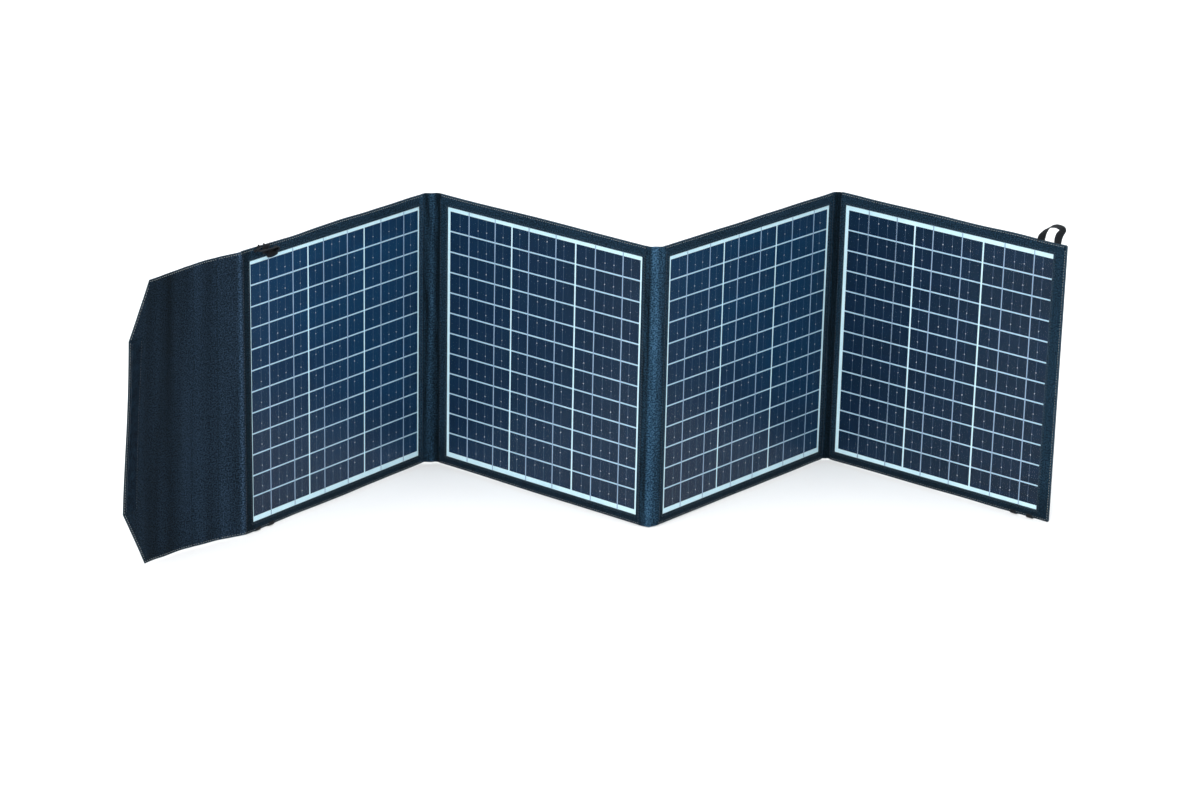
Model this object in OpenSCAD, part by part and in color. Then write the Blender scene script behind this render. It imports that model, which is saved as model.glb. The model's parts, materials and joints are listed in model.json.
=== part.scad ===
// Folding solar panel: four panels on fabric hinges, with a closing flap.
// It stands in a zigzag on its lower edge. +Z is up, the cells face -Y, all sizes are in millimetres.

/* [Panels] */
// Width of the clear window over the cells
window_w = 326; // [280:1:360]
// Height of the clear window over the cells
window_h = 351; // [300:1:400]
// Fabric below the window
margin_bottom = 13.5; // [8:0.5:30]
// Fabric above the window
margin_top = 15.5; // [8:0.5:30]
// Thickness of a panel from cover to cover
panel_t = 5; // [4:0.5:8]
// Thickness of the fabric covers
fabric_t = 1; // [0.6:0.1:2]
// Height of the lower fabric edge above the ground
edge_lift = 1.5; // [1.5:0.1:6]
// Soft fabric left of the board of panel 1, where the gusset bends away
soft_edge = 14.5; // [5.5:0.5:18]

/* [Cells] */
// Width of one cell strip
cell_w = 104; // [90:0.5:106]
// Height of one cell strip
cell_h = 26.4; // [20:0.1:27]
// Gap between columns of cells
column_gap = 2.5; // [1:0.1:4]
// Gap between rows of cells
row_gap = 2; // [1:0.1:3]
// Columns in one panel
columns = 3; // [2:1:4]
// Rows in one panel
rows = 12; // [8:1:16]
// Width of a soldered ribbon
ribbon_w = 1.5; // [0.8:0.1:3]

/* [Folds] */
// Width of the fabric strip of the first fold, between its two stitch lines
fold_1_w = 20.4; // [12:0.1:30]
// Width of the strip of the second fold
fold_2_w = 17.4; // [10:0.1:30]
// Width of the strip of the third fold
fold_3_w = 7.4; // [7:0.1:20]
// Thickness of a folding strip
strip_t = 1.2; // [0.8:0.1:2]
// Running clearance between a strip and the panel beside it
strip_gap = 0.3; // [0.2:0.05:0.6]

/* [Flap] */
// Width of the soft gusset, which spans the closed stack
gusset_w = 51.1; // [40:0.1:80]
// Length of the flap from the gusset to its free edge
flap_l = 139.9; // [90:0.1:200]
// Length of the slanted corner of the flap
corner_l = 38; // [0:1:60]
// Height of the lower slanted corner of the flap
corner_h = 78; // [0:1:120]
// Height of the upper slanted corner of the flap
corner_h_top = 70; // [0:1:120]
// Thickness of the flap
flap_t = 2; // [1.5:0.1:4]
// Width of the hook strip
hook_w = 20; // [10:1:40]

/* [Webbing loops] */
// Width of the webbing
web_w = 10; // [8:0.5:25]
// Outer width of a loop
loop_w = 35; // [24:1:60]
// Height of a loop
loop_h = 24; // [20:1:60]

/* [Pocket and output box] */
// Width of the back pocket
pocket_w = 170; // [120:1:250]
// Height of the back pocket
pocket_h = 125; // [90:1:200]
// Depth of the back pocket
pocket_d = 24; // [20:0.5:40]
// Width of the output box
box_w = 96; // [70:1:140]
// Height of the output box
box_h = 58; // [40:1:80]
// Depth of the output box
box_d = 17; // [14:0.5:22]

/* [Rest pose] */
// Heading of panel 1, from left to right
yaw_1 = 52; // [0:0.1:90]
// Heading of panel 2
yaw_2 = -38; // [-90:0.1:0]
// Heading of panel 3
yaw_3 = 48.4; // [0:0.1:90]
// Heading of panel 4
yaw_4 = -38.2; // [-90:0.1:0]
// Heading of the gusset
yaw_gusset = 27.3; // [0:0.1:90]
// Heading of the flap
yaw_flap = 56.1; // [0:0.1:90]
// Lean of the top left loop, 0 upright and 180 hanging on the front
lean_tl = 155; // [0:1:170]

/* [Hidden] */
$fn = 48;
yaw = [yaw_1, yaw_2, yaw_3, yaw_4];
// fabric beside each window, left and right, up to the hinge line
margin_l = [25, 16.6, 11.4, 12.1];
margin_r = [11.6, 9.2, 12.4, 18];
// how much narrower each hemmed window is than the widest allowed
hem_in = [4.6, 1.8, 2.3, 2.6];
function win_w(i) = window_w - hem_in[i];
length = [for (i = [0:3]) margin_l[i] + win_w(i) + margin_r[i]];
half = panel_t / 2;
edge = strip_t / 2 + strip_gap;        // hinge line to the fabric edge beside it
z0 = edge_lift;
z1 = edge_lift + margin_bottom + window_h + margin_top;
win_z = edge_lift + margin_bottom;
rim_w = 4;
film_t = 0.4;
cell_t = 0.3;
ribbon_t = 0.15;
sheet_t = 1;
array_w = columns * cell_w + (columns - 1) * column_gap;
// white border left of the cells and below them, one per panel
border_l = [1.6, 4.4, 2.8, 5.3];
border_b = [7.4, 6.9, 7.2, 5.9];
// ribbons of each column, as shares of the cell's width
ribbon_at = [[0.31, 0.74], [0.266, 0.7], [0.3, 0.732]];

// the chain of hinge lines, from the left end of panel 2 outwards
function dir(a) = [cos(a), sin(a)];
p2_l = [-222.3, 188.8];
p2_r = p2_l + length[1] * dir(yaw_2);
p1_r = p2_l - fold_1_w * dir((yaw_1 + yaw_2) / 2);
p1_l = p1_r - length[0] * dir(yaw_1);
p3_l = p2_r + fold_2_w * dir((yaw_2 + yaw_3) / 2);
p3_r = p3_l + length[2] * dir(yaw_3);
p4_l = p3_r + fold_3_w * dir((yaw_3 + yaw_4) / 2);
flap_p = p1_l - gusset_w * dir(yaw_gusset);
left = [p1_l, p2_l, p3_l, p4_l];

// where the hook strip meets panel 4 when the stack is closed
hook_edge = 3;
hook_mid = flap_l - hook_edge - hook_w / 2;
closed_4 = length[1] - length[2];
touch_h = z1 - z0 - corner_h - corner_h_top - 2;

pocket_x = 100;
pocket_z = 110;
wall = 1.5;
skin = 2;                              // wall of the output box
box_x = pocket_x + 10;
box_z = pocket_z + wall + 2;
box_y = half + 0.1;
port_y = box_y + box_d / 2;
loop_r = 0.6;

color_fabric = [0.11, 0.15, 0.20];
color_web = [0.03, 0.03, 0.04];

// a panel's own axes: X from its left hinge line, Y to the back, Z up
module on_panel(i) {
  translate([left[i][0], left[i][1], 0]) rotate([0, 0, yaw[i]]) children();
}

function first(i) = edge;
function last(i) = i == 3 ? length[i] : length[i] - edge;
function board_from(i) = i == 0 ? soft_edge : first(i) + rim_w + 0.5;

module slab(x0, x1, y0, y1, za, zb) {
  translate([x0, y0, za]) cube([x1 - x0, y1 - y0, zb - za]);
}

// fabric cover of the back with its turned-in rim
module back_cover(i) {
  color(color_fabric) on_panel(i) difference() {
    slab(first(i), last(i), -half + fabric_t, half, z0, z1);
    slab(first(i) + rim_w, last(i) - rim_w, -half, half - fabric_t, z0 + rim_w, z1 - rim_w);
  }
}

// board that keeps the panel flat
module stiffener(i) {
  color([0.2, 0.2, 0.21]) on_panel(i)
    slab(board_from(i), last(i) - rim_w - 0.5, -half + fabric_t + sheet_t, half - fabric_t,
         z0 + rim_w + 0.5, z1 - rim_w - 0.5);
}

// white sheet behind the cells
module backsheet(i) {
  color([0.78, 0.92, 0.97]) on_panel(i)
    slab(board_from(i), min(last(i) - rim_w - 0.3, margin_l[i] + win_w(i) + 6),
         -half + fabric_t, -half + fabric_t + sheet_t, z0 + rim_w + 0.3, z1 - rim_w - 0.3);
}

module cells(i) {
  color([0.07, 0.12, 0.25]) on_panel(i)
    for (c = [0:columns - 1], r = [0:rows - 1])
      translate([margin_l[i] + border_l[i] + c * (cell_w + column_gap), -half + fabric_t - cell_t,
                 win_z + border_b[i] + r * (cell_h + row_gap)])
        cube([cell_w, cell_t, cell_h]);
}

module ribbons(i) {
  color([0.6, 0.68, 0.76]) on_panel(i)
    for (c = [0:columns - 1], k = ribbon_at[min(c, 2)])
      translate([margin_l[i] + border_l[i] + c * (cell_w + column_gap) + k * cell_w - ribbon_w / 2,
                 -half + fabric_t - cell_t - ribbon_t, win_z + 0.5])
        cube([ribbon_w, ribbon_t, window_h - 1]);
}

// clear film over the cells
module film(i) {
  color([0.7, 0.8, 0.9, 0.2]) on_panel(i)
    slab(margin_l[i] + 0.3, margin_l[i] + win_w(i) - 0.3,
         -half + fabric_t - cell_t - ribbon_t - film_t, -half + fabric_t - cell_t - ribbon_t,
         win_z + 0.3, win_z + window_h - 0.3);
}

// fabric front with its window
module surround(i) {
  color(color_fabric) on_panel(i) difference() {
    slab(first(i), last(i), -half, -half + fabric_t, z0, z1);
    slab(margin_l[i], margin_l[i] + win_w(i), -half - 1, half, win_z, win_z + window_h);
  }
}

// strip between two hinge lines, rounded about both
module strip(at, w, a) {
  color(color_fabric) translate([at[0], at[1], z0]) rotate([0, 0, a]) {
    slab(0, w, -strip_t / 2, strip_t / 2, 0, z1 - z0);
    for (x = [0, w]) translate([x, 0, 0]) cylinder(r = strip_t / 2, h = z1 - z0);
  }
}

module fold_strip_1() { strip(p1_r, fold_1_w, (yaw_1 + yaw_2) / 2); }
module fold_strip_2() { strip(p2_r, fold_2_w, (yaw_2 + yaw_3) / 2); }
module fold_strip_3() { strip(p3_r, fold_3_w, (yaw_3 + yaw_4) / 2); }
module flap_gusset() { strip(flap_p, gusset_w, yaw_gusset); }

// the flap's own axes: X runs back towards the gusset, so the flap lies at negative X
module on_flap() {
  translate([flap_p[0], flap_p[1], 0]) rotate([0, 0, yaw_flap]) children();
}

module flap_cover() {
  color(color_fabric) on_flap() translate([0, flap_t / 2, 0]) rotate([90, 0, 0])
    linear_extrude(height = flap_t) polygon([
      [-edge, z0], [-flap_l + corner_l, z0], [-flap_l, z0 + corner_h],
      [-flap_l, z1 - corner_h_top], [-flap_l + corner_l, z1], [-edge, z1]]);
}

module hook_strip() {
  color(color_web) on_flap()
    slab(-flap_l + hook_edge, -flap_l + hook_edge + hook_w, -flap_t / 2 - 1, -flap_t / 2,
         z0 + corner_h + 1, z0 + corner_h + 1 + touch_h);
}

module loop_strip() {
  color(color_web) on_panel(3)
    slab(length[0] - hook_mid - closed_4 - 15, length[0] - hook_mid - closed_4 + 15, half, half + 1,
         z0 + corner_h + 1, z0 + corner_h + 1 + touch_h);
}

// flat webbing loop that stands on its hinge line: X along the edge, Z away from it
module web_loop() {
  color(color_web) {
    rotate([90, 0, 0]) translate([0, 0, -loop_r]) linear_extrude(height = 2 * loop_r) difference() {
      union() {
        translate([-loop_w / 2, 0]) square([loop_w, loop_h - 6]);
        translate([-loop_w / 2 + 6, 0]) square([loop_w - 12, loop_h]);
        for (s = [-1, 1]) translate([s * (loop_w / 2 - 6), loop_h - 6]) circle(r = 6);
      }
      translate([-loop_w / 2 + web_w, -1]) square([loop_w - 2 * web_w, loop_h - web_w + 1]);
    }
    for (s = [-1, 1]) translate([s * (loop_w - web_w) / 2 - web_w / 2, 0, 0])
      rotate([0, 90, 0]) cylinder(r = loop_r, h = web_w);
  }
}

loop_front = -half - strip_gap - loop_r;
module web_loop_tl() {
  on_panel(0) translate([margin_l[0] + 26, loop_front, z1 - 2]) rotate([lean_tl, 0, 0]) web_loop();
}
module web_loop_tr() {
  on_panel(3) translate([margin_l[3] + win_w(3) - 10.5, 0, z1 + edge]) web_loop();
}
module web_loop_bl() {
  on_panel(0) translate([margin_l[0] + 22, 0, z0 - edge]) rotate([-90, 0, 0]) web_loop();
}
module web_loop_br() {
  on_panel(3) translate([margin_l[3] + win_w(3) - 24, 0, z0 - edge]) rotate([-90, 0, 0]) web_loop();
}

module pocket_front() {
  color(color_fabric) on_panel(0)
    slab(pocket_x, pocket_x + pocket_w, half + pocket_d - wall, half + pocket_d, pocket_z, pocket_z + pocket_h);
}

// side and bottom walls of the pocket
module pocket_gusset() {
  color(color_fabric) on_panel(0) {
    for (x = [pocket_x, pocket_x + pocket_w - wall])
      slab(x, x + wall, half, half + pocket_d - wall, pocket_z, pocket_z + pocket_h);
    slab(pocket_x + wall + 0.2, pocket_x + pocket_w - wall - 0.2, half, half + pocket_d - wall,
         pocket_z, pocket_z + wall);
  }
}

pocket_hinge_y = half + 0.3 + wall / 2;
pocket_hinge_z = pocket_z + pocket_h + 0.35 + wall / 2;
module pocket_flap() {
  color(color_fabric) on_panel(0) translate([pocket_x, 0, pocket_hinge_z]) {
    slab(0, pocket_w, pocket_hinge_y, half + pocket_d + 1, -wall / 2, wall / 2);
    translate([0, pocket_hinge_y, 0]) rotate([0, 90, 0]) cylinder(r = wall / 2, h = pocket_w);
  }
}

module on_box() {
  on_panel(0) translate([box_x, box_y, box_z]) children();
}
port_x = [18, 42, 66, 84];             // barrel socket, wide socket, small socket, indicator
screw_in = 5;

module box_shell() {
  color([0.05, 0.05, 0.055]) on_box() difference() {
    cube([box_w, box_d - skin, box_h]);
    translate([skin, skin, skin]) cube([box_w - 2 * skin, box_d, box_h - 2 * skin]);
    translate([port_x[0], box_d / 2, box_h - skin - 1]) cylinder(r = 4.6, h = skin + 2);
    translate([port_x[1] - 6.8, box_d / 2 - 3.1, box_h - skin - 1]) cube([13.6, 6.2, skin + 2]);
    translate([port_x[2] - 4.7, box_d / 2 - 1.9, box_h - skin - 1]) cube([9.4, 3.8, skin + 2]);
    translate([port_x[3], box_d / 2, box_h - skin - 1]) cylinder(r = 1.6, h = skin + 2);
  }
}

module box_lid() {
  color([0.06, 0.06, 0.065]) on_box() difference() {
    translate([0, box_d - skin, 0]) cube([box_w, skin, box_h]);
    for (x = [screw_in, box_w - screw_in], z = [screw_in, box_h - screw_in])
      translate([x, box_d + 1, z]) rotate([90, 0, 0]) cylinder(r = 2.5, h = 2);
  }
}

module box_screws() {
  color([0.6, 0.6, 0.62]) on_box()
    for (x = [screw_in, box_w - screw_in], z = [screw_in, box_h - screw_in])
      translate([x, box_d - 0.1, z]) rotate([90, 0, 0]) difference() {
        cylinder(r = 2.4, h = 0.9);
        translate([-1.4, -0.3, -1]) cube([2.8, 0.6, 1.4]);
        translate([-0.3, -1.4, -1]) cube([0.6, 2.8, 1.4]);
      }
}

module circuit_board() {
  color([0.05, 0.28, 0.15]) on_box()
    translate([skin + 1, skin + 0.5, skin + 1]) cube([box_w - 2 * skin - 2, 1.4, box_h - 2 * skin - 2]);
}

module barrel_socket() {
  color([0.03, 0.03, 0.03]) on_box() translate([port_x[0], box_d / 2, box_h - 12]) {
    difference() {
      union() {
        cylinder(r = 4.5, h = 12.4);
        translate([-4.5, skin + 2 - box_d / 2, 0]) cube([9, box_d / 2 - skin - 2, 9]);
      }
      translate([0, 0, 2.4]) cylinder(r = 2.8, h = 12);
    }
    translate([0, 0, 2]) cylinder(r = 1.05, h = 9.4);
  }
}

// metal shell with a tongue: w across, t deep
module power_socket(x, w, t, tongue) {
  color([0.65, 0.66, 0.68]) on_box() translate([x, box_d / 2, box_h - 12]) {
    difference() {
      translate([-w / 2, -t / 2, 0]) cube([w, t, 12.3]);
      translate([-w / 2 + 0.4, -t / 2 + 0.4, 2]) cube([w - 0.8, t - 0.8, 12]);
    }
    translate([-w / 2 + 1.2, -tongue / 2, 1.5]) cube([w - 2.4, tongue, 9.5]);
    translate([-w / 2 + 1, skin + 2 - box_d / 2, 0]) cube([w - 2, box_d / 2 - skin - 2 - t / 2 + 0.2, 6]);
  }
}
module wide_socket() { power_socket(port_x[1], 13.4, 6, 1.8); }
module small_socket() { power_socket(port_x[2], 9.2, 3.6, 0.7); }

module indicator() {
  color([0.5, 0.9, 0.6]) on_box() translate([port_x[3], box_d / 2, box_h - 5]) cylinder(r = 1.5, h = 5.3);
}

module back_cover_1() { back_cover(0); }
module back_cover_2() { back_cover(1); }
module back_cover_3() { back_cover(2); }
module back_cover_4() { back_cover(3); }
module stiffener_1() { stiffener(0); }
module stiffener_2() { stiffener(1); }
module stiffener_3() { stiffener(2); }
module stiffener_4() { stiffener(3); }
module backsheet_1() { backsheet(0); }
module backsheet_2() { backsheet(1); }
module backsheet_3() { backsheet(2); }
module backsheet_4() { backsheet(3); }
module cells_1() { cells(0); }
module cells_2() { cells(1); }
module cells_3() { cells(2); }
module cells_4() { cells(3); }
module ribbons_1() { ribbons(0); }
module ribbons_2() { ribbons(1); }
module ribbons_3() { ribbons(2); }
module ribbons_4() { ribbons(3); }
module film_1() { film(0); }
module film_2() { film(1); }
module film_3() { film(2); }
module film_4() { film(3); }
module surround_1() { surround(0); }
module surround_2() { surround(1); }
module surround_3() { surround(2); }
module surround_4() { surround(3); }

back_cover_1();
back_cover_2();
back_cover_3();
back_cover_4();
stiffener_1();
stiffener_2();
stiffener_3();
stiffener_4();
backsheet_1();
backsheet_2();
backsheet_3();
backsheet_4();
cells_1();
cells_2();
cells_3();
cells_4();
ribbons_1();
ribbons_2();
ribbons_3();
ribbons_4();
film_1();
film_2();
film_3();
film_4();
surround_1();
surround_2();
surround_3();
surround_4();
fold_strip_1();
fold_strip_2();
fold_strip_3();
flap_gusset();
flap_cover();
hook_strip();
loop_strip();
web_loop_tl();
web_loop_tr();
web_loop_bl();
web_loop_br();
pocket_front();
pocket_gusset();
pocket_flap();
box_shell();
box_lid();
box_screws();
circuit_board();
barrel_socket();
wide_socket();
small_socket();
indicator();
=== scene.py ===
"""Folding solar panel: fabric, cells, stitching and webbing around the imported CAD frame."""
import json
import math

import bpy
import numpy as np
from mathutils import Matrix, Vector


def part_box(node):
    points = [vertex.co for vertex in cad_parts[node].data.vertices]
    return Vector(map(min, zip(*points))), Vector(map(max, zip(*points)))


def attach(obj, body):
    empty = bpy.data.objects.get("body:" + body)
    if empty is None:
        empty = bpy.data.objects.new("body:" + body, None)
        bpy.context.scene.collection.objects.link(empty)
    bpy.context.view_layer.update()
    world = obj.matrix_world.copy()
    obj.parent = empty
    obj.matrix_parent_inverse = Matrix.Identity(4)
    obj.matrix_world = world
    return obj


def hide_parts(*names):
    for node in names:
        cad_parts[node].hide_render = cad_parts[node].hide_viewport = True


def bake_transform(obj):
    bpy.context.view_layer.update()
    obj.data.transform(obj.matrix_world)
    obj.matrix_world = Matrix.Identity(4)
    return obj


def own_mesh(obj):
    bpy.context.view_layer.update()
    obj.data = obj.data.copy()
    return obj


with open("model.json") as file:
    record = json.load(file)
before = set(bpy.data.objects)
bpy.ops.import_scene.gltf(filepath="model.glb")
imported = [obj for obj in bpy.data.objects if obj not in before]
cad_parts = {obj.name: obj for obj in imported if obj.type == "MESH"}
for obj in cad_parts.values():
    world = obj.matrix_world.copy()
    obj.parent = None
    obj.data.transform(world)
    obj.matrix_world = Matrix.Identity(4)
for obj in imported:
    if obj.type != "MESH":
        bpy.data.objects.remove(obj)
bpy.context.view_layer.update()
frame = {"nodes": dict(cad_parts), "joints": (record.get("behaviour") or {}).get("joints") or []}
MM = 0.001
JOINTS = {j["name"]: j for j in frame["joints"]}
NODES = frame["nodes"]
scene = bpy.context.scene


# ---------------------------------------------------------------- frames of the panels
def joint_at(name):
    return np.array(JOINTS[name]["pos_m"], float) * (1, 1, 0)


class Plane:
    """Local axes of one flat piece: x along it, y to its back, z up."""

    def __init__(self, origin, along):
        self.o = np.array(origin, float)
        self.d = np.array(along, float) / np.linalg.norm(along)
        self.b = np.array([-self.d[1], self.d[0], 0.0])

    def at(self, x, y, z):
        x, y, z = np.broadcast_arrays(*(np.asarray(a, float) for a in (x, y, z)))
        p = self.o + x[..., None] * self.d + y[..., None] * self.b
        p[..., 2] = z
        return p

    def local(self, p):
        q = np.asarray(p, float) - self.o
        return np.stack([q @ self.d, q @ self.b, np.asarray(p, float)[..., 2]], -1)

    def box(self, node):
        co = np.array([v.co for v in NODES[node].data.vertices], float)
        q = self.local(co)
        return q.min(0), q.max(0)

    @property
    def yaw(self):
        return math.atan2(self.d[1], self.d[0])


ends = [("gusset_root", "fold_1_outer"), ("fold_1", "fold_2"), ("fold_2_outer", "fold_3")]
P = [Plane(joint_at(a), joint_at(b) - joint_at(a)) for a, b in ends]
P.append(Plane(joint_at("fold_3_outer"), -np.array(JOINTS["loop_tr_swing"]["axis"], float)))
LEN = [float(np.linalg.norm(joint_at(b) - joint_at(a))) for a, b in ends]
LEN.append(float(P[3].box("surround_4")[1][0]))
Z0, Z1 = (float(v[2]) for v in P[1].box("surround_2"))
MID = (Z0 + Z1) / 2
FILM_GAP = 0.3 * MM                               # the film ends this far inside its window
HEM_OVER = 0.7 * MM                               # the last panel's hem covers the right border
WIN = []                                          # window of each panel: x0, x1, z0, z1
for k in range(4):
    lo, hi = P[k].box(f"film_{k + 1}")
    over = FILM_GAP if k < 3 else -HEM_OVER
    WIN.append((lo[0] - FILM_GAP, hi[0] + over, lo[2] - FILM_GAP, hi[2] + FILM_GAP))
HALF = 2.5 * MM                                   # half of a panel's thickness
SEAM = 2.65 * MM                                  # the outer row of stitches lies this far from an edge
CELL_W, CELL_GAP, CELL_H, ROW_GAP = 104 * MM, 2.5 * MM, 26.4 * MM, 2 * MM
COLUMNS, ROWS = 3, 12


# ---------------------------------------------------------------- small numeric helpers
def smooth(lo, hi, x):
    t = np.clip((np.asarray(x, float) - lo) / (hi - lo), 0, 1)
    return t * t * (3 - 2 * t)


def waves(seed, n, short, long, across=1.0):
    """A smooth random height of about unit size; across > 1 stretches its folds along the second axis."""
    r = np.random.default_rng(seed)
    ang, ph = r.uniform(0, math.pi, n), r.uniform(0, 2 * math.pi, n)
    wl = np.exp(r.uniform(math.log(short), math.log(long), n))
    amp = (wl / long) ** 0.7
    amp /= math.sqrt((amp ** 2).sum() / 2)

    def f(x, y):
        x, y = np.asarray(x, float), np.asarray(y, float) / across
        return sum(a * np.sin(2 * math.pi / w * (math.cos(t) * x + math.sin(t) * y) + p)
                   for a, w, t, p in zip(amp, wl, ang, ph))
    return f


EDGE = (0, 0.12, 0.4, 0.9, 1.6, 2.2, 2.7, 3.2, 4.4, 6, 8.5)     # mm from a sewn edge, where its section turns


def rim(d):
    """Half thickness of a sewn edge, as a share of the full one, at a distance d from the edge."""
    return np.interp(np.asarray(d, float) / MM, EDGE,
                     (0, 0.28, 0.42, 0.5, 0.54, 0.52, 0.49, 0.56, 0.76, 0.93, 1))


def both_faces(front, rear):
    """Values up the front of a thin cloth and down its back, as one closed loop."""
    return np.concatenate([front, rear[::-1][1:-1]])


def fine_ends(za, zb, n):
    """Heights from za to zb, closer together at the sewn edges."""
    e = np.array(EDGE) * MM
    return np.concatenate([za + e, np.linspace(za + 12 * MM, zb - 12 * MM, n), zb - e[::-1]])


def crease(x, z, x0, z0, x1, z1, width):
    """1 on the line from (x0, z0) to (x1, z1), falling to 0 beside it and past its ends."""
    d = np.array([x1 - x0, z1 - z0])
    n = np.linalg.norm(d)
    d = d / n
    s = (x - x0) * d[0] + (z - z0) * d[1]
    t = (x - x0) * d[1] - (z - z0) * d[0]
    return np.exp(-(t / width) ** 2) * smooth(0, 0.25 * n, s) * (1 - smooth(0.7 * n, n, s))


# ---------------------------------------------------------------- mesh building
def piece(name, parts, materials, wear=None, painted_light_shade=None):
    """One mesh object from parts of (verts, faces, uv, material index, smooth)."""
    verts, faces, uvs, mats, smooths, n = [], [], [], [], [], 0
    for v, f, uv, m, s in parts:
        v = np.asarray(v, float).reshape(-1, 3)
        verts.append(v)
        uvs.append(np.asarray(uv, float).reshape(-1, 2))
        faces += [tuple(int(i) + n for i in face) for face in f]
        mats += [m] * len(f)
        smooths += [s] * len(f) if isinstance(s, bool) else list(s)
        n += len(v)
    verts, uvs = np.concatenate(verts), np.concatenate(uvs)
    mesh = bpy.data.meshes.new(name)
    mesh.from_pydata(verts.tolist(), [], faces)
    layer = mesh.uv_layers.new(name="UVMap")
    loops = np.zeros(len(mesh.loops), np.int32)
    mesh.loops.foreach_get("vertex_index", loops)
    layer.data.foreach_set("uv", uvs[loops].astype(np.float32).ravel())
    mesh.polygons.foreach_set("material_index", mats)
    mesh.polygons.foreach_set("use_smooth", smooths)
    for m in materials:
        mesh.materials.append(m)
    # wear marks rubbed edges; the second attribute is painted light and shade that makes the cloth lighter or
    # darker
    for label, values in (("wear", wear), ("painted_light_shade", painted_light_shade)):
        w = np.zeros(len(verts), np.float32)
        if values is not None:
            w[:len(values)] = values
        mesh.attributes.new(label, "FLOAT", "POINT").data.foreach_set("value", w)
    mesh.update()
    o = bpy.data.objects.new(name, mesh)
    scene.collection.objects.link(o)
    return o


def loft(loops, uv, ladder=None):
    """Closed loops of equal length joined into a skin, as a part with material 0 and its smooth flags.
    A thin curved section is capped with a ladder of faces; ladder is the index that pairs with point 0."""
    loops = np.asarray(loops, float)
    n, m = loops.shape[:2]
    faces = []
    for i in range(n - 1):
        a, b = i * m, (i + 1) * m
        for j in range(m):
            k = (j + 1) % m
            faces.append((a + j, b + j, b + k, a + k))
    flags = [True] * len(faces)
    for base, back in ((0, False), ((n - 1) * m, True)):
        if ladder is None:
            caps = [tuple(range(m))]
        else:
            caps = []
            for j in range(m // 2):
                a, b, c, d = j, j + 1, (ladder - j - 1) % m, (ladder - j) % m
                face = [a, b] + [q for q in (c, d) if q not in (a, b)]
                if len(set(face)) > 2:
                    caps.append(tuple(face))
        for cap in caps:
            faces.append(tuple(base + q for q in (reversed(cap) if back else cap)))
            flags.append(False)
    return loops.reshape(-1, 3), faces, np.asarray(uv, float).reshape(-1, 2), 0, flags


def thread_part(points, normals, mat=1, seed=0):
    """Sewing thread: a row of short capsules along a line, each sunk at both ends."""
    step, length, r = 3.6 * MM, 2.5 * MM, 0.28 * MM
    profile = ((-1, 0.35, -0.9), (-0.8, 0.9, -0.25), (0, 1, 0.12), (0.8, 0.9, -0.25), (1, 0.35, -0.9))
    points, normals = np.asarray(points, float), np.asarray(normals, float)
    seg = np.linalg.norm(np.diff(points, axis=0), axis=1)
    s = np.concatenate([[0], np.cumsum(seg)])
    rng = np.random.default_rng(seed)
    verts, faces, uv = [], [], []
    for c in range(int(s[-1] // step)):
        mid = (c + 0.5) * step + rng.normal(0, 0.02) * step
        half = 0.5 * length * (1 + rng.normal(0, 0.03))
        ring0 = len(verts)
        for t, wide, up in profile:
            q = np.clip(mid + t * half, 0, s[-1])
            p, nn = (np.array([np.interp(q, s, v[:, a]) for a in range(3)]) for v in (points, normals))
            nn /= np.linalg.norm(nn)
            i = min(max(int(np.searchsorted(s, q)) - 1, 0), len(seg) - 1)
            side = np.cross(nn, (points[i + 1] - points[i]) / seg[i])
            side /= np.linalg.norm(side)
            for k in range(6):
                a = k * math.pi / 3
                verts.append(p + nn * (r * up + r * wide * math.sin(a)) + side * r * wide * math.cos(a))
                uv.append((q, k * r))
        for g in range(4):
            for k in range(6):
                a, b = ring0 + g * 6 + k, ring0 + g * 6 + (k + 1) % 6
                faces.append((a, b, b + 6, a + 6))
        faces.append(tuple(ring0 + k for k in reversed(range(6))))
        faces.append(tuple(ring0 + 24 + k for k in range(6)))
    return verts, faces, uv, mat, True


def dress(o, body, slot, *nodes):
    """Fix a piece to its body and hide the CAD solids that it stands for; slot is not used."""
    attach(o, body)
    if nodes:
        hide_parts(*nodes)
    return o


# ---------------------------------------------------------------- materials
def lin(r, g, b, a=1.0):
    """Linear colour of 0-255 display values."""
    c = [x / 255 for x in (r, g, b)]
    return tuple(x / 12.92 if x <= 0.04045 else ((x + 0.055) / 1.055) ** 2.4 for x in c) + (a,)


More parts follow.
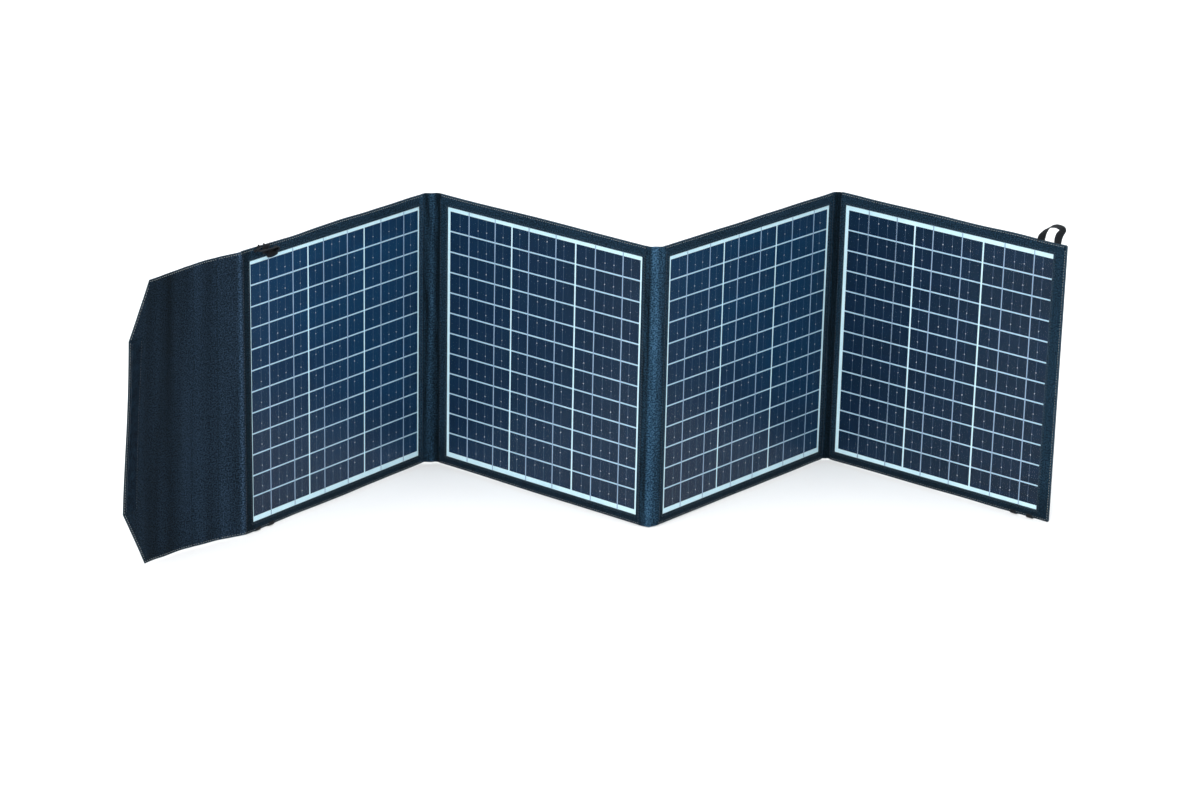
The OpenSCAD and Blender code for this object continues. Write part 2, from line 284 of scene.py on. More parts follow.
class Mat:
    """A small wrapper that adds and links shader nodes."""

    def __init__(self, name, **sockets):
        self.m = bpy.data.materials.new(name)
        self.m.use_nodes = True
        self.t = self.m.node_tree
        self.bsdf = self.t.nodes["Principled BSDF"]
        for k, v in sockets.items():
            self.bsdf.inputs[k.replace("_", " ")].default_value = v

    def node(self, kind, ins=(), **props):
        n = self.t.nodes.new(kind)
        for k, v in props.items():
            setattr(n, k, v)
        for k, v in dict(ins).items():
            if isinstance(v, bpy.types.NodeSocket):
                self.t.links.new(v, n.inputs[k])
            else:
                n.inputs[k].default_value = v
        return n

    def math(self, op, a, b=0.0, clamp=False):
        return self.node("ShaderNodeMath", {0: a, 1: b}, operation=op, use_clamp=clamp).outputs[0]
    def add(self, a, b, clamp=False):
        return self.math("ADD", a, b, clamp)

    def sub(self, a, b):
        return self.math("SUBTRACT", a, b)

    def mul(self, a, b, clamp=False):
        return self.math("MULTIPLY", a, b, clamp)

    def about(self, x, k):
        """A noise that lies about 0.5, as a swing of k about 0."""
        return self.mul(self.sub(x, 0.5), k)
    def mix(self, f, a, b):
        return self.node("ShaderNodeMix", {0: f, 6: a, 7: b}, data_type="RGBA").outputs[2]

    def ramp(self, f, *stops):
        n = self.node("ShaderNodeValToRGB", {0: f})
        e = n.color_ramp.elements
        while len(e) < len(stops):
            e.new(0.5)
        for el, (p, c) in zip(e, stops):
            el.position, el.color = p, c if len(c) == 4 else (*c, 1)
        return n.outputs[0]

    def noise(self, vec, scale, detail=3.0, rough=0.55):
        return self.node("ShaderNodeTexNoise", {"Vector": vec, "Scale": scale, "Detail": detail,
                                                "Roughness": rough}).outputs[0]

    def scaled(self, vec, x, y, z=1.0):
        return self.node("ShaderNodeVectorMath", {0: vec, 1: (x, y, z)}, operation="MULTIPLY").outputs[0]

    def link(self, out, socket):
        self.t.links.new(out, self.bsdf.inputs[socket])

    def bump(self, height, strength, distance):
        n = self.node("ShaderNodeBump", {"Height": height, "Strength": strength, "Distance": distance})
        self.t.links.new(n.outputs[0], self.bsdf.inputs["Normal"])


def uv_of(m):
    return m.node("ShaderNodeUVMap", uv_map="UVMap").outputs[0]


def weave(m, vec, pitch):
    """Plain weave from UVs in metres: a height from 0 to 1 with threads over and under."""
    sep = m.node("ShaderNodeSeparateXYZ", {0: m.scaled(vec, math.pi / pitch, math.pi / pitch)})
    sx, sy = (m.math("SINE", sep.outputs[k]) for k in (0, 1))
    over = m.math("MULTIPLY_ADD", m.mul(sx, sy), 0.5)
    over.node.inputs[2].default_value = 0.5
    return over


def cloth(name, dark, light, worn, pitch=0.9 * MM):
    """Woven polyester canvas: weave, mottling, faint slubs, dust, paler worn edges and painted light and shade
    from a per-point attribute.
    """
    rough = 0.82
    m = Mat(name, Roughness=rough, Sheen_Weight=0.05, Sheen_Roughness=0.45, Sheen_Tint=(*light[:3], 1),
            Specular_IOR_Level=0.1, Specular_Tint=(0.45, 0.8, 1.0, 1))
    uv = uv_of(m)
    w = weave(m, uv, pitch)
    fine = m.noise(uv, 900.0, 2.0)
    blot = m.noise(uv, 55.0, 4.0)
    slub = m.noise(m.scaled(uv, 1, 0.08), 800.0, 1.0)
    big = m.noise(m.scaled(uv, 1, 0.35), 9.0, 3.0)
    grain = m.noise(uv, 510.0, 3.0, 0.75)
    tone = m.add(m.mul(w, 0.25), m.mul(fine, 0.2))
    tone = m.add(tone, m.mul(blot, 0.25))
    tone = m.add(tone, m.about(grain, 4.6))
    tone = m.add(tone, m.about(slub, 0.3))
    tone = m.add(tone, m.about(big, 0.5), clamp=True)
    col = m.ramp(tone, (0.1, dark), (0.75, light))
    # painted light and shade: a per-point attribute scales the colour lighter or darker
    painted_light_shade = m.node("ShaderNodeAttribute", attribute_name="painted_light_shade").outputs["Fac"]
    painted_light_gain = m.math("MAXIMUM", m.add(m.mul(painted_light_shade, 1.6), 1.0), 0.3)
    col = m.node("ShaderNodeVectorMath", {0: col, "Scale": painted_light_gain}, operation="SCALE").outputs[0]
    wear = m.node("ShaderNodeAttribute", attribute_name="wear").outputs["Fac"]
    rubbed = m.mul(wear, m.add(m.mul(grain, 1.2), 0.1), clamp=True)
    dust = m.ramp(m.noise(uv, 700.0, 6.0, 0.7), (0.62, (0, 0, 0, 1)), (0.8, (1, 1, 1, 1)))
    m.link(m.mix(m.add(rubbed, m.mul(dust, 0.1), clamp=True), col, worn), "Base Color")
    m.link(m.add(m.mul(blot, 0.16), rough - 0.08), "Roughness")
    m.bump(m.add(w, m.mul(grain, 2.5)), 0.8, 0.45 * MM)
    return m.m


NAVY_D, NAVY_L, NAVY_W = lin(6, 18, 28), lin(32, 54, 72), lin(84, 98, 106)
CANVAS = cloth("canvas", NAVY_D, NAVY_L, NAVY_W)
FLAP_CLOTH = cloth("canvas_soft", lin(4, 10, 16), lin(26, 38, 52), NAVY_W)
LINING = cloth("canvas_back", lin(14, 19, 25), lin(30, 38, 47), lin(60, 68, 76), pitch=1.1 * MM)


def thread_material(name, dark, light):
    m = Mat(name, Roughness=0.6)
    uv = uv_of(m)
    twist = m.math("SINE", m.mul(m.node("ShaderNodeSeparateXYZ", {0: uv}).outputs[0], 9000.0))
    col = m.mix(m.math("MULTIPLY_ADD", twist, 0.5), dark, light)
    m.link(col, "Base Color")
    m.bump(twist, 0.3, 0.05 * MM)
    return m.m


THREAD = thread_material("thread", lin(84, 94, 100), lin(158, 164, 164))
DARK_THREAD = thread_material("thread_dark", lin(14, 24, 34), lin(44, 60, 74))


def webbing_material():
    """Ribbed webbing: cross ribs with a herringbone and paler rubbed edges."""
    m = Mat("webbing", Roughness=0.7, Specular_IOR_Level=0.2)
    uv = uv_of(m)
    sep = m.node("ShaderNodeSeparateXYZ", {0: uv})
    turn = 2 * math.pi / (1.3 * MM)      # one rib every 1.3 mm
    along = m.mul(sep.outputs[0], turn)
    zig = m.mul(m.math("PINGPONG", sep.outputs[1], 2.5 * MM), turn)
    rib = m.math("SINE", m.add(along, zig))
    grain = m.noise(uv, 700.0, 3.0)
    f = m.add(m.mul(rib, 0.25), grain, clamp=True)
    col = m.ramp(f, (0.2, lin(4, 6, 9)), (0.95, lin(19, 24, 30)))
    att = m.node("ShaderNodeAttribute", attribute_name="wear")
    col = m.mix(m.mul(att.outputs["Fac"], grain), col, lin(40, 48, 56))
    m.link(col, "Base Color")
    m.bump(rib, 0.6, 0.3 * MM)
    return m.m


WEBBING = webbing_material()


def tape_material(name, dark, light, scale):
    """Hook and loop tape: a field of fine hooks or fuzz."""
    m = Mat(name, Roughness=0.9, Specular_IOR_Level=0.04)
    uv = uv_of(m)
    v = m.node("ShaderNodeTexVoronoi", {"Vector": uv, "Scale": scale, "Randomness": 0.55}).outputs["Distance"]
    f = m.add(m.mul(v, 1.1), m.about(m.noise(uv, 90.0, 4.0), 0.8), clamp=True)
    m.link(m.ramp(f, (0.1, light), (0.8, dark)), "Base Color")
    m.bump(m.sub(1.0, v), 0.8, 0.5 * MM)
    return m.m


HOOK = tape_material("hook_tape", lin(5, 11, 18), lin(24, 40, 54), 700.0)
LOOP = tape_material("loop_tape", lin(12, 17, 24), lin(36, 44, 54), 650.0)


def local_coords(m, plane):
    """Object coordinates turned into a panel's own x, y, z, in metres."""
    tc = m.node("ShaderNodeTexCoord")
    mp = m.node("ShaderNodeMapping", {"Vector": tc.outputs["Object"], "Location": tuple(plane.o),
                                      "Rotation": (0, 0, plane.yaw)}, vector_type="TEXTURE")
    return mp.outputs[0]


def cell_material(k):
    """Dark blue cells under a film: one tone per cell, faint fingers, and a painted reflection from blue to
    plum across the panel.
    """
    m = Mat(f"cells_{k + 1}", Roughness=0.32, Specular_IOR_Level=0.3, Specular_Tint=(0.25, 0.55, 1.0, 1))
    vec = local_coords(m, P[k])
    sep = m.node("ShaderNodeSeparateXYZ", {0: vec})
    x0, x1, z0, z1 = WIN[k]
    u = m.math("DIVIDE", m.sub(sep.outputs[0], x0), x1 - x0)
    down = m.sub(1.0, m.math("DIVIDE", m.sub(sep.outputs[2], z0), z1 - z0))
    if k % 2 == 0:      # painted reflection: the first and third panels go plum at the lower left, the others at the right
        painted_reflection = m.sub(m.mul(down, 1.15), m.mul(u, 0.95))
    else:
        painted_reflection = m.sub(m.add(m.mul(u, 0.95), m.mul(down, 0.35)), 0.22)
    painted_reflection = m.add(painted_reflection, m.about(m.noise(vec, 7.0, 3.0), 0.55), clamp=True)
    # the blue and plum ends of the painted reflection, one pair per panel
    blue = (lin(8, 46, 76), lin(8, 36, 60), lin(4, 42, 70), lin(4, 26, 46))[k]
    plum = (lin(24, 30, 42), lin(27, 35, 47), lin(22, 27, 37), lin(21, 25, 32))[k]
    base = m.mix(painted_reflection, blue, plum)
    cell = m.scaled(vec, 1 / (CELL_W + CELL_GAP), 0, 1 / (CELL_H + ROW_GAP))
    cell = m.node("ShaderNodeVectorMath", {0: cell}, operation="FLOOR").outputs[0]
    rnd = m.node("ShaderNodeTexWhiteNoise", {"Vector": cell}, noise_dimensions="3D").outputs["Value"]
    base = m.mix(m.mul(rnd, 0.35), base, lin(12, 30, 54))
    finger = m.math("SINE", m.mul(sep.outputs[2], 2 * math.pi / (1.45 * MM)))
    finger = m.mul(m.math("POWER", m.math("MULTIPLY_ADD", finger, 0.5), 6.0), 0.06)
    base = m.mix(finger, base, lin(90, 112, 140))
    grain = m.noise(vec, 1600.0, 2.0)
    m.link(m.mix(m.mul(grain, 0.12), base, lin(44, 62, 86)), "Base Color")
    m.link(m.add(m.mul(grain, 0.1), 0.28), "Roughness")
    return m.m


def backsheet_material(k):
    """White sheet behind the cells, with painted shade in the row gaps between the cells of a column."""
    m = Mat(f"backsheet_{k + 1}", Roughness=0.42)
    vec = local_coords(m, P[k])
    fine = m.noise(vec, 700.0, 2.0)
    f = m.add(m.mul(m.noise(vec, 38.0, 4.0), 0.7), m.mul(fine, 0.3))
    col = m.ramp(f, (0.25, lin(186, 224, 238)), (0.75, lin(212, 243, 252)))
    lo, hi = P[k].box(f"cells_{k + 1}")
    sep = m.node("ShaderNodeSeparateXYZ", {0: vec})

    def near(value, centre, half):
        return m.math("LESS_THAN", m.math("ABSOLUTE", m.sub(value, centre)), half)

    rows, cols = near(sep.outputs[2], (lo[2] + hi[2]) / 2, (hi[2] - lo[2]) / 2), 0.0
    for c in range(COLUMNS):
        cols = m.add(cols, near(sep.outputs[0], lo[0] + c * (CELL_W + CELL_GAP) + CELL_W / 2, CELL_W / 2))
    # painted shade: darker within the cells' columns, so the row gaps read dimmer than the column gaps
    m.link(m.mix(m.mul(m.mul(rows, cols), 0.4), col, lin(108, 146, 186)), "Base Color")
    m.bump(fine, 0.1, 0.05 * MM)
    return m.m


def ribbon_material(k):
    m = Mat(f"ribbons_{k + 1}", Roughness=0.45)
    vec = local_coords(m, P[k])
    n = m.noise(m.scaled(vec, 6, 1, 0.6), 240.0, 4.0)
    m.link(m.ramp(n, (0.25, lin(118, 146, 174)), (0.8, lin(152, 180, 206))), "Base Color")
    m.bump(n, 0.3, 0.04 * MM)
    return m.m


def film_material():
    m = Mat("film", Roughness=0.2, Alpha=0.04, Base_Color=lin(20, 34, 46), Specular_IOR_Level=0.3, IOR=1.42)
    tex = m.noise(m.node("ShaderNodeTexCoord").outputs["Object"], 900.0, 3.0)
    m.link(m.add(m.mul(tex, 0.12), 0.12), "Roughness")
    return m.m


def plastic(name, dark, light, rough, metallic=0.0, bump=0.25):
    """Moulded or brushed finish with a fine grain and a few scuffs."""
    m = Mat(name, Roughness=rough, Metallic=metallic)
    vec = m.node("ShaderNodeTexCoord").outputs["Object"]
    grain = m.noise(vec, 1400.0, 3.0)
    scuff = m.noise(m.scaled(vec, 1, 1, 0.15), 300.0, 5.0, 0.7)
    m.link(m.ramp(m.add(m.mul(grain, 0.5), m.mul(scuff, 0.5)), (0.3, dark), (0.72, light)), "Base Color")
    m.link(m.add(m.mul(scuff, 0.22), rough - 0.1), "Roughness")
    m.bump(grain, bump, 0.06 * MM)
    return m.m


def paint(node, material):
    o = NODES[node]
    o.data.materials.clear()
    o.data.materials.append(material)


FILM = film_material()
BARS = plastic("busbars", lin(40, 64, 92), lin(66, 92, 120), 0.5, bump=0.05)
PADS = plastic("solder", lin(176, 182, 190), lin(226, 230, 234), 0.5, bump=0.05)
for k in range(4):
    paint(f"cells_{k + 1}", cell_material(k))
    paint(f"backsheet_{k + 1}", backsheet_material(k))
    paint(f"ribbons_{k + 1}", ribbon_material(k))
    paint(f"film_{k + 1}", FILM)
    paint(f"stiffener_{k + 1}", plastic(f"board_{k + 1}", lin(42, 42, 44), lin(60, 60, 62), 0.8))
BOX = plastic("box_plastic", lin(18, 18, 20), lin(36, 37, 40), 0.55)
METAL = plastic("socket_metal", lin(150, 152, 156), lin(190, 192, 196), 0.34, metallic=0.9)
for n in ("box_shell", "box_lid"):
    paint(n, BOX)
paint("box_screws", plastic("screw_steel", lin(140, 142, 146), lin(188, 190, 194), 0.36, metallic=0.9))
paint("circuit_board", plastic("solder_mask", lin(14, 62, 38), lin(24, 88, 54), 0.4))
paint("barrel_socket", plastic("socket_plastic", lin(12, 12, 13), lin(28, 28, 30), 0.5))
paint("wide_socket", METAL)
paint("small_socket", METAL)
paint("indicator", plastic("indicator", lin(120, 220, 150), lin(170, 240, 190), 0.25))


# ---------------------------------------------------------------- panel covers
def ring(x0, x1, za, zb, radii, ns=56, nc=5):
    """Points around a rectangle from its lower left corner, anticlockwise as seen from the front.
    radii are of the lower left, lower right, upper right and upper left corners."""
    cs = [(x0, za, 1, 1), (x1, za, -1, 1), (x1, zb, -1, -1), (x0, zb, 1, -1)]
    pts = []
    for c in range(4):
        x, z, sx, sz = cs[c]
        r = radii[c]
        for k in range(nc):
            a = math.pi * (1 + c / 2) + (k / (nc - 1)) * math.pi / 2
            pts.append((x + sx * r + r * math.cos(a), z + sz * r + r * math.sin(a)))
        nx, nz, nsx, nsz = cs[(c + 1) % 4]
        rn = radii[(c + 1) % 4]
        a = math.pi * (1 + (c + 1) / 2)
        end = (nx + nsx * rn + rn * math.cos(a), nz + nsz * rn + rn * math.sin(a))
        start = pts[-1]
        for k in range(1, ns):
            t = k / ns
            pts.append((start[0] + (end[0] - start[0]) * t, start[1] + (end[1] - start[1]) * t))
    return np.array(pts)


def free_distance(x, z, ends):
    """Distance to the nearest sewn edge; ends are (left is sewn, right is sewn, left x, right x)."""
    d = np.minimum(z - Z0, Z1 - z)
    if ends[0]:
        d = np.minimum(d, x - ends[2])
    if ends[1]:
        d = np.minimum(d, ends[3] - x)
    return d


def cover(k, s0, s1, free, node=None):
    """Fabric of one panel from s0 to s1: a front with a hemmed window, a rolled sewn edge and a slack
    back. free says which of the two ends are sewn edges; node is a solid sewn to the back."""
    plane, (w0, w1, wa, wb) = P[k], WIN[k]
    sag = waves(20 + k, 9, 30 * MM, 160 * MM)
    small = waves(40 + k, 12, 8 * MM, 30 * MM)
    wob = waves(60 + k, 5, 60 * MM, 260 * MM)
    rad = [3 * MM if sewn else 0.05 * MM for sewn in (*free, *free[::-1])]
    hem = [0, 0, 0.2, 0.6, 1.2, 2.0, 2.6, 3.0, 3.4, 4.2]                        # mm outside the window
    edge = [9, 7, 5.4, 4.2, 3.4, 2.9, 2.6, 2.3, 1.7, 1.0, 0.45, 0.12, 0]        # mm inside the outer edge
    gaps = np.array([w0 - s0, s1 - w1, wa - Z0, Z1 - wb]) / MM

    def rect(off, inner):
        """Rectangle off mm outside the window, or off mm inside the outer edge."""
        g = gaps * MM
        q = off * MM * np.minimum(1, gaps / 14)
        d = q if inner else g - q
        return (w0 - d[0], w1 + d[1], wa - d[2], wb + d[3])

    def radii(t):
        return [0.6 * MM + (b - 0.6 * MM) * t for b in rad]

    def to_edge(x, z):
        return free_distance(x, z, (*free, s0, s1))

    def front(x, z):
        d = to_edge(x, z)
        dw = np.maximum(np.maximum(w0 - x, x - w1), np.maximum(wa - z, z - wb)) / MM
        hem_y = np.interp(dw, (0, 0.2, 0.6, 1.2, 2.2, 2.7, 3.0, 3.3, 4.2),
                          (-0.35, -0.1, 0.06, 0.1, 0.08, -0.02, -0.1, -0.02, 0.0))
        soft = 0.10 * small(x, z) * smooth(3.5, 6, dw) * smooth(2, 6, d / MM)
        soft = soft + 0.06 * small(x * 3, z * 3) * np.exp(-((d / MM - 3.2) / 1.2) ** 2)
        return -(HALF * rim(d) + (hem_y + soft) * MM)

    def rear(x, z):
        d = to_edge(x, z) / MM
        e = np.minimum(np.minimum(x - s0, s1 - x), np.minimum(z - Z0, Z1 - z)) / MM
        soft = np.maximum(0.35 * sag(x, z) - 0.1 + 0.1 * small(x, z), -0.45) * smooth(5, 40, e)
        if node:      # cloth lies flat under what is sewn to it
            lo, hi = plane.box(node)
            above = 32 * MM if k == 0 else 0      # the pocket's lid lies here when it is open
            out = np.maximum(np.maximum(lo[0] - x, x - hi[0]), np.maximum(lo[2] - z, z - hi[2] - above)) / MM
            soft = soft * smooth(1, 14, out) - 0.05 * (1 - smooth(1, 14, out))
        return HALF * rim(d * MM) + soft * MM

    def uneven(x, z):
        """How far the sewn edges stray from a straight line."""
        shift = 0.35 * MM * wob(x, z * 0) * (1 - smooth(0, 14 * MM, to_edge(x, z)))
        shift = shift * np.where(z > MID, 1, -0.6)
        return np.maximum(shift, np.where(z > MID, -1, -0.5 * MM))

    rings, ys = [], []

    def lay(bounds, t, height):
        r = ring(*bounds, radii(t))
        rings.append(r)
        ys.append(height(r[:, 0], r[:, 1]))

    for n, off in enumerate(hem):
        lay(rect(off, True), 0.15 * n / len(hem), front if n else lambda x, z: np.full(len(x), -1.0 * MM))
    inner, outer = rect(hem[-1], True), rect(edge[0], False)
    for t in (0.33, 0.66):
        lay([a + (b - a) * t for a, b in zip(inner, outer)], 0.3 + 0.4 * t, front)
    for off in edge:
        lay(rect(off, False), 1, front)
    for off in reversed(edge[:-1]):
        lay(rect(off, False), 1, rear)
    span = (outer[1] - outer[0]) / 2 - 0.5 * MM, (outer[3] - outer[2]) / 2 - 2 * MM
    for t in np.linspace(0, 1, 26)[1:]:
        lay((outer[0] + span[0] * t, outer[1] - span[0] * t, outer[2] + span[1] * t, outer[3] - span[1] * t),
            1 - t, rear)
    loops, uv, wear, painted_shade_and_tone = [], [], [], []
    for n, (r, y) in enumerate(zip(rings, ys)):
        x, z = r[:, 0], r[:, 1]
        loops.append(plane.at(x, y, z + uneven(x, z)))
        side = 1.0 if n > len(hem) + 2 + len(edge) else -1.0
        uv.append(np.stack([x * side + 3 * k * 0.1, z], -1))
        wear.append(0.55 * np.exp(-(to_edge(x, z) / (0.9 * MM)) ** 2) + (0.3 if n in (3, 4) else 0))
        # painted shade: a dark band in the groove left of the first panel's window
        painted_groove_shade = 0.35 * (1 - smooth(w0 - 3 * MM, w0 + 2 * MM, x)) if k == 0 else 0
        # painted light: a paler strip right of the first panel's window, on its side towards the light
        painted_light_strip = 0.4 * smooth(w1 + 0.5 * MM, w1 + 2 * MM, x) if k == 0 else 0
        # darker towards the bottom, plus the painted shade and light above
        painted_shade_and_tone.append(-0.28 * (1 - smooth(Z0 + 8 * MM, Z0 + 60 * MM, z)) - painted_groove_shade + painted_light_strip)
    v, f, uvs, _, flags = loft(loops, uv)
    flags = [True] * (len(flags) - 2) + [False, True]
    parts = [(v, f, uvs, 0, flags)]

    def line(start, end, front_side, seed, dark=False):
        """A row of stitches between two points (x, z) of the front or of the back."""
        x, z = (np.linspace(a, b, 60) for a, b in zip(start, end))
        y = front(x, z) if front_side else rear(x, z)
        n = np.tile(-plane.b if front_side else plane.b, (60, 1))
        parts.append(thread_part(plane.at(x, y, z + uneven(x, z)), n, mat=3 if dark else 1, seed=seed))

    o = 3.0 * MM
    xa, xb = w0 - min(o, (w0 - s0) * 0.75), w1 + min(o, (s1 - w1) * 0.75)
    corners = [(xa, wa - o), (xb, wa - o), (xb, wb + o), (xa, wb + o)]
    for c in range(4):
        line(corners[c], corners[(c + 1) % 4], True, c + 10 * k, dark=True)
    xa, xb = s0 + (SEAM if free[0] else 0), s1 - (SEAM if free[1] else 0)
    seams = [((xa, z), (xb, z)) for z in (Z0 + SEAM, Z1 - SEAM)]
    if free[1]:
        seams.append(((s1 - SEAM, Z0 + SEAM), (s1 - SEAM, Z1 - SEAM)))
    for seed, ends in enumerate(seams):
        line(*ends, True, 50 + seed + 10 * k)
        line(*ends, False, 90 + seed + 10 * k)
    o = piece(f"panel_cover_{k + 1}", parts, [CANVAS, THREAD, LINING, DARK_THREAD],
              np.concatenate(wear), np.concatenate(painted_shade_and_tone))
    back = len(hem) + 2 + 2 * len(edge) - 3
    for face in o.data.polygons[back * len(rings[0]):len(f)]:
        face.material_index = 2
    return dress(o, f"panel_{k + 1}", "canvas", f"surround_{k + 1}", f"back_cover_{k + 1}")


CUT = 4 * MM                                      # the fold's cloth takes over this far from a hinge
covers = [cover(0, 12 * MM, LEN[0] - CUT, (False, False), "pocket_front"),
          cover(1, CUT, LEN[1] - CUT, (False, False)),
          cover(2, CUT, LEN[2] - CUT, (False, False)),
          cover(3, CUT, LEN[3], (False, True), "loop_strip")]


# ---------------------------------------------------------------- busbars and solder pads
def busbars(k):
    """Thin busbars down each cell and one solder pad on each in every row."""
    plane = P[k]
    lo, _ = plane.box(f"cells_{k + 1}")
    y = lo[1] - 0.02 * MM
    verts, faces, uv = [], [], []
    across = [[q + d for q in (0.16, 0.46, 0.60, 0.87)] for d in (0, -0.043, -0.008)]
    down = [0.65, 0.28, 0.60] if k < 3 else [0.33, 0.60, 0.60]
    rng = np.random.default_rng(300 + k)

    def slab(x0, x1, ya, yb, za, zb):
        n = len(verts)
        for yy in (ya, yb):
            for xx, zz in ((x0, za), (x1, za), (x1, zb), (x0, zb)):
                verts.append(plane.at(xx, yy, zz))
                uv.append((xx, zz))
        faces.extend([(n, n + 1, n + 2, n + 3), (n + 7, n + 6, n + 5, n + 4), (n, n + 4, n + 5, n + 1),
                      (n + 1, n + 5, n + 6, n + 2), (n + 2, n + 6, n + 7, n + 3), (n + 3, n + 7, n + 4, n)])

    spots = [(c, lo[0] + c * (CELL_W + CELL_GAP) + q * CELL_W, lo[2] + r * (CELL_H + ROW_GAP))
             for c in range(COLUMNS) for r in range(ROWS) for q in across[c]]
    for _, x, z in spots:
        slab(x - 0.3 * MM, x + 0.3 * MM, y - 0.03 * MM, y + 0.01 * MM, z + 0.5 * MM, z + CELL_H - 0.5 * MM)
    bars = len(faces)
    for c, x, z in spots:
        cz = z + CELL_H * (1 - down[c]) + rng.normal(0, 0.15) * MM
        n = len(verts)
        rr = (0.62 + rng.normal(0, 0.05)) * MM
        for yy, s in ((y + 0.01 * MM, 1.0), (y - 0.05 * MM, 0.85), (y - 0.075 * MM, 0.4)):
            for a in np.arange(10) * math.pi / 5:
                verts.append(plane.at(x + rr * s * math.cos(a), yy, cz + 1.25 * rr * s * math.sin(a)))
                uv.append((x, cz))
        for g in (0, 10):
            for a in range(10):
                b = (a + 1) % 10
                faces.append((n + g + a, n + g + b, n + g + 10 + b, n + g + 10 + a))
        faces.append(tuple(n + 20 + a for a in range(10)))
        faces.append(tuple(n + a for a in reversed(range(10))))
    o = piece(f"busbars_{k + 1}", [(verts, faces, uv, 0, False)], [BARS, PADS])
    for f in o.data.polygons[bars:]:
        f.material_index = 1
    dress(o, f"panel_{k + 1}", "ribbons")


for k in range(4):
    busbars(k)


# ---------------------------------------------------------------- fabric folds
def bent(plane, hinge_x, turn, start, end, u, y, z, reverse=False):
    """Returns the points at rest."""
    s = -1.0 if reverse else 1.0
    h = plane.at(hinge_x, 0, 0)
    flat = plane.at(hinge_x + s * u, y, z) - h
    ce, se = math.cos(turn), math.sin(turn)
    strip_dir = np.array([ce * plane.d[0] - se * plane.d[1], se * plane.d[0] + ce * plane.d[1], 0]) * s
    a = h - s * plane.d * start
    b = h + strip_dir * end
    chord = b - a
    w = smooth(-start, end, u)
    for _ in range(60):
        c, si = np.cos(w * turn), np.sin(w * turn)
        fx, fy, fz = (flat[..., i] for i in range(3))
        p = np.stack([fx * c - fy * si, fx * si + fy * c, fz], -1) + h
        t = np.clip(((p - a) @ chord) / (chord @ chord), 0, 1)
        w = 0.5 * w + 0.5 * t * t * (3 - 2 * t)
    return p, a, b


def fold_cloth(n, left):
    """Half of fold n's fabric, from one panel's edge to the middle of the strip."""
    width, ends_at, shape, painted_shading, seed = FOLDS[n - 1]
    panel = n - 1 if left else n
    plane = P[panel]
    hinge_x = LEN[panel] if left else 0.0
    other = Plane(joint_at(ends_at[0]), joint_at(ends_at[1]) - joint_at(ends_at[0]))
    turn = (other.yaw - plane.yaw + math.pi) % (2 * math.pi) - math.pi
    reach = min(5.0 * MM, width / 2 * 1.25)
    end = width / 2 * (1.0 if width > 10 * MM else 0.98)
    us = np.concatenate([[-CUT - UNDER, -CUT - 0.2 * MM], np.linspace(-CUT + 0.3 * MM, width / 2, 26)])
    zs = fine_ends(Z0, Z1, 60)
    ridge = waves(seed, 10, 3.5 * MM, 16 * MM, across=9)
    loose = waves(seed + 1, 8, 25 * MM, 110 * MM)

    def lay(u, y, z):
        return bent(plane, hinge_x, turn, reach, end, np.full(len(z), u), y, z, reverse=not left)

    loops, uvs, wears, painted_shades = [], [], [], []
    for u in us:
        h = np.interp(u / MM, (-6, -4, -2.6, -1.2, 0, 1.2, 2.4, 30),
                      (2.56, 2.56, 2.2, 1.45, 1.05, 1.1, 1.2, 1.25)) * MM
        along = u if left else width - u            # from the left hinge line of the strip
        e = rim(np.minimum(zs - Z0, Z1 - zs))
        puff = smooth(-3 * MM, 3 * MM, u)
        calm = smooth(1 * MM, 10 * MM, np.minimum(zs - Z0, Z1 - zs))
        lift = (0.16 * ridge(along, zs) + 0.12 * loose(along, zs)) * MM * puff * (0.4 + 0.6 * calm)
        lift = lift + shape(along, zs) * MM * puff
        y, z = both_faces(lift * e - h * e, lift * 0.8 * e + h * e), both_faces(zs, zs)
        # the second fold's cloth sags a little at its lower edge
        hang = np.exp(-((along / MM - 8.7) / 5) ** 2) * (1 - smooth(Z0, Z0 + 20 * MM, z)) if n == 2 else 0
        p, a, b = lay(u, y, z - 1.2 * MM * hang)
        loops.append(p)
        uvs.append(np.stack([np.full(len(z), u + hinge_x + 0.7), z], -1))
        wears.append(0.55 * np.exp(-(np.minimum(z - Z0, Z1 - z) / (0.9 * MM)) ** 2))
        # painted light and shade across the fold: paler on ridges that face the light, darker in creases and
        # hollows
        shade = np.full(len(z), np.interp(along / MM, *painted_shading)) + 0.12 * ridge(np.full(len(z), along), z)
        shade[len(zs):] *= 0.3
        painted_shades.append(shade)
    if left:
        loops, uvs, wears, painted_shades = loops[::-1], uvs[::-1], wears[::-1], painted_shades[::-1]
    parts = [loft(loops, uvs, ladder=0)]
    # one row of stitches where the fold is sewn to the panel, through both sides
    zz = np.linspace(Z0 + 3 * MM, Z1 - 3 * MM, 80)
    for side in (-1, 1):
        p, _, _ = lay(-CUT - 0.6 * MM, side * 2.56 * MM * rim(np.minimum(zz - Z0, Z1 - zz)), zz)
        parts.append(thread_part(p, np.tile(side * plane.b, (80, 1)), seed=seed + side + 5))
    o = piece(f"fold_{n}_cloth_{'left' if left else 'right'}", parts, [CANVAS, DARK_THREAD],
              np.concatenate(wears), np.concatenate(painted_shades))
    if left:
        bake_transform(o)
        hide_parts(f"fold_strip_{n}")
    else:
        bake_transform(o)
    return o


